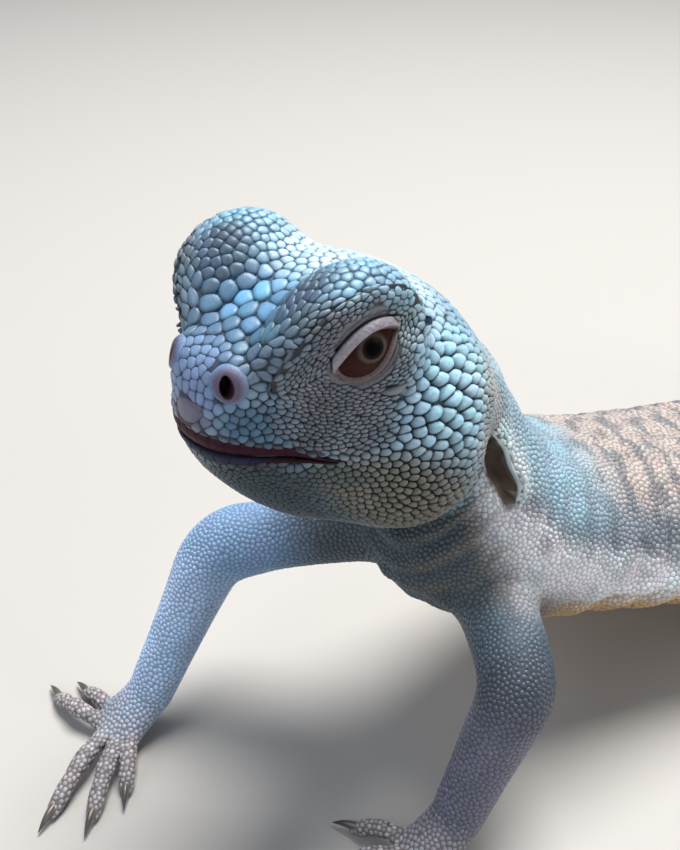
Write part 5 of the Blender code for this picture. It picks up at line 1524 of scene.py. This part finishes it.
# All that carries scales: the skin with the lids' folds on it
skinTree = BVHTree.FromPolygons(skinPoints.tolist(), skinFaces.tolist())
openSkin, shown = skinFaces, {}
for side in (1, -1):
    # of the skin and the lids' folds, the one that lies farther out from the eye carries the scales
    centre = eyeAxes(side)[0]
    foldPoints, foldFaces = lids[side][:2]
    foldTree = BVHTree.FromPolygons(foldPoints.tolist(), foldFaces.tolist())
    ways = foldPoints[foldFaces].mean(1) - centre
    far = np.linalg.norm(ways, axis=1)
    shown[side] = foldFaces[reachOf(skinTree, centre, ways) < far + 0.05]
    middles = skinPoints[openSkin].mean(1)
    ways = middles - centre
    far = np.linalg.norm(ways, axis=1)
    near = np.flatnonzero(overEye(middles, side, far))
    openSkin = np.delete(openSkin, near[reachOf(foldTree, centre, ways[near]) > far[near]], axis=0)
folds = [(lids[side][0], shown[side], lids[side][2]) for side in (1, -1)]
ground = Surface(*joinShapes([(skinPoints, openSkin, skinTint)] + folds)[:2])


def headHeight(points, facts, sizes):
    # a dome's height in mm: the share of its width that its place has, less for the plates
    local = headLocal(points)
    share = blobs(local, 0.24, (((10.0, 17.0, 2.0), (13.0, 9.0, 15.0), 0.42),
                                ((33.0, 0.0, 14.0), (10.0, 8.0, 8.0), 0.2),
                                ((24.0, 11.0, 24.0), (9.5, 7.0, 7.0), 0.26),
                                ((39.0, 0.0, 6.0), (5.5, 7.0, 8.0), 0.10)), 1)[:, 0]
    share = mixed(share, 0.42, nearLids(points)[0])
    return share * sizes * np.where(sizes > 3, 0.45, 1.0)


def headTilt(points, facts):
    # how much higher a dome's rear edge stands than its front one, in shares of its width
    return blobs(headLocal(points), 0.02, (((10.0, 18.0, 2.0), (12.0, 9.0, 14.0), 0.11),), 1)[:, 0]


def pebbled(points):
    # 1 on the cheek and temple, where scales are high and overlap, to 0 on the snout and forehead
    return blobs(headLocal(points), 0.35, (((11.0, 18.0, 1.5), (12.5, 9.0, 15.0), 1.0),
                                          ((36.0, 0.0, 10.0), (9.0, 9.0, 11.0), 0.0),
                                          ((26.0, 15.0, 6.0), (9.0, 7.0, 6.2), 0.8)), 1)[:, 0]


# lean: painted light, each scale lighter at its rear and darker at its front; soft: how much the painted shade at the
# rims is lessened
headLook = {"sides": 14, "corners": 7.0, "fill": 1.08, "most": 0.74, "tilt": headTilt, "variety": 0.07,
            "gap": lambda points: mixed(0.018, 0.03, pebbled(points)),
            "soft": lambda points: mixed(0.45, 0.0, pebbled(points)),
            "lean": lambda points: 0.42 * pebbled(points), "peak": lambda points: 0.15 * pebbled(points),
            "height": headHeight,
            # each ring: reach, share of the height, sinking in mm, how much of the middle's colour, how bright
            # (painted shade at the rim, painted highlight at the top)
            "profile": ((1.0, 0.0, -0.16, 0.0, 0.2), (0.96, 0.40, 0.0, 0.05, 0.66),
                        (0.78, 0.78, 0.0, 0.6, 0.97), (0.40, 0.96, 0.0, 1.0, 1.1))}


def same(value):
    # a look that is alike on the whole body
    return lambda points, *more: np.full(len(points), value)


# the body's scales too get painted shade at the rim and a slight painted-light lean
bodyLook = {"sides": 6, "corners": 6.0, "fill": 1.07, "most": 0.74, "variety": 0.05, "gap": same(0.015),
            "soft": same(0.25), "lean": same(0.08), "peak": same(0.05), "tilt": same(0.05),
            "height": lambda points, facts, sizes: sizes * 0.12,
            "profile": ((1.0, 0.0, -0.10, 0.0, 0.62), (0.84, 0.62, 0.0, 0.45, 1.0))}


def addScales(name, points, normals, sizes, facts, grain, look, seed):
    # built together, then split from head to tail into pieces that are not too large
    shapes, faces, tint, uv, each, facesEach = buildScales(ground, points, normals, sizes, facts, grain, look, seed)
    most = coat["triangles"] // facesEach
    order = np.argsort(facts[:, 1], kind="stable")
    for k in range(0, len(points), most):
        own = order[k:k + most]
        rows = (own[:, None] * each + np.arange(each)).ravel()
        used = faces[:facesEach][None] + (np.arange(len(own)) * each)[:, None, None]
        shape = (shapes[rows], used.reshape(-1, 3), tint[rows], uv[rows])
        addPiece("%s_%d" % (name, k // most + 1), shape, "scale")
    return len(faces)


def sizesOf(points):
    return sizeAt(points, factsAt(points))


def onHeadOnly(points):
    facts = factsAt(points)
    return (facts[:, 0] == 0) & (facts[:, 1] < coat["headEnd"])


starts = thrown(ground, 8, 41, onHeadOnly)
startSizes = sizesOf(starts)
starts = starts[thinned(starts, startSizes)]
places, ways, sizes = relaxed(ground, starts, sizesOf(starts), 16, 0.25, True)
facts = factsAt(places)
keep = ~openAt(places, facts)
places, ways, sizes = places[keep], ways[keep], sizes[keep]
runs, longs = grainAt(places, facts[keep])
seeds = []
for plate in plates:
    for side in (1, -1) if plate["place"][1] else (1,):
        spot, normal = ground.nearest(headPoint(np.array([plate["place"]]) * (1, side, 1)))
        way = unit(np.array([plate["way"]]) * (1, side, 1) @ headAxes)
        seeds.append((spot, normal, np.array([2 * math.sqrt(plate["half"][0] * plate["half"][1])]), way,
                      np.array([plate["half"][0] / plate["half"][1]])))
places, ways, sizes, runs, longs = (np.concatenate([own] + [seed[k] for seed in seeds])
                                    for k, own in enumerate((places, ways, sizes, runs, longs)))
facts = factsAt(places)
headSpots = places
count = addScales("head_scales", places, ways, sizes, facts, (runs, longs), headLook, 42)
stage("%d head scales, %d faces" % (len(places), count))


def behindHead(points):
    # the skin behind the head, but for the top of the tail, which the spines cover
    facts = factsAt(points)
    onTail = (facts[:, 1] > coat["spinesStart"]) & (np.sin(facts[:, 2]) > -0.2)
    return ((facts[:, 0] > 0) | ((facts[:, 1] >= coat["bodyStart"]) & ~onTail)) & (points[:, 2] > 0.25)


starts = thrown(ground, 7, 44, behindHead)
startSizes = sizesOf(starts)
near = treeOf(headSpots)
apart = np.array([near.find(p)[2] for p in starts.tolist()])
clear = apart > startSizes * coat["toHead"]
starts, startSizes = starts[clear], startSizes[clear]
starts = starts[thinned(starts, startSizes)]
places, ways, sizes = relaxed(ground, starts, sizesOf(starts), 6, 0.25)
facts = factsAt(places)
keep = ~openAt(places, facts)
places, ways, sizes, facts = places[keep], ways[keep], sizes[keep], facts[keep]
onBody, onTail = facts[:, 0] == 0, facts[:, 1] >= coat["spinesStart"]
for name, slot, part in (("trunk_scales", "trunk_skin", onBody & ~onTail), ("tail_scales", "tail_skin", onBody & onTail),
                         ("limb_scales", "limb_skin", ~onBody)):
    grain = grainAt(places[part], facts[part])
    count = addScales(name, places[part], ways[part], sizes[part], facts[part], grain, bodyLook, 43)
    stage("%d %s, %d faces" % (part.sum(), name, count))


def standing(first, second, third, place):
    # a matrix from three axes and a place
    return Matrix(np.vstack([np.column_stack([first, second, third, place]), (0, 0, 0, 1)]).tolist())


# Floor, light and camera; each lamp's place in metres, size, power and colour
studio = {"floor": (0.50, 0.49, 0.475), "floorSize": 6.0, "world": (0.55, 0.6, 0.68), "worldStrength": 0.3,
          "key": ((-0.14, 0.12, 0.92), 0.55, 14.5, (1.0, 0.97, 0.93)),
          "fill": ((0.1, -1.0, 0.7), 0.8, 3.4, (0.9, 0.94, 1.0)),
          "side": ((1.0, 0.5, 0.3), 0.5, 3.2, (1.0, 0.95, 0.9))}
mesh = bpy.data.meshes.new("floor")
half = studio["floorSize"] / 2
mesh.from_pydata([(-half, -half, 0), (half, -half, 0), (half, half, 0), (-half, half, 0)], [], [(0, 1, 2, 3)])
floor = bpy.data.objects.new("floor", mesh)
bpy.context.scene.collection.objects.link(floor)
floorMaterial = bpy.data.materials.new("pale_floor")
floorMaterial.use_nodes = True
floorMaterial.node_tree.nodes["Principled BSDF"].inputs["Base Color"].default_value = (*studio["floor"], 1)
floorMaterial.node_tree.nodes["Principled BSDF"].inputs["Roughness"].default_value = 0.8
mesh.materials.append(floorMaterial)

world = bpy.data.worlds.new("studio")
world.use_nodes = True
world.node_tree.nodes["Background"].inputs["Color"].default_value = (*studio["world"], 1)
world.node_tree.nodes["Background"].inputs["Strength"].default_value = studio["worldStrength"]
bpy.context.scene.world = world
aim = np.array((0.0, -0.1, 0.05))
for name in ("key", "fill", "side"):
    place, size, power, colour = studio[name]
    lamp = bpy.data.lights.new(name, "AREA")
    lamp.shape, lamp.size, lamp.energy, lamp.color = "DISK", size, power, colour
    item = bpy.data.objects.new(name, lamp)
    back = unit(np.array(place) - aim)
    side = unit(np.cross((0.0, 1.0, 0.0), back))
    item.matrix_world = standing(side, np.cross(back, side), back, place)
    bpy.context.scene.collection.objects.link(item)

bpy.context.scene.view_settings.view_transform = "Standard"
view = {"place": (123.5, -93.5, 165.0), "right": (0.5, 0.866, 0.0), "up": (-0.4716, 0.2723, 0.8387), "lens": 46.588}
lens = bpy.data.cameras.new("camera")
lens.lens, lens.sensor_width, lens.sensor_fit = view["lens"], 36.0, "AUTO"
lens.clip_start = 0.01
camera = bpy.data.objects.new("camera", lens)
right, up = unit(view["right"]), unit(view["up"])
place = (np.array(view["place"]) + shift) * mm
camera.matrix_world = standing(right, up, np.cross(right, up), place)
bpy.context.scene.collection.objects.link(camera)
bpy.context.scene.camera = camera

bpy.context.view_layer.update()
stage("done")
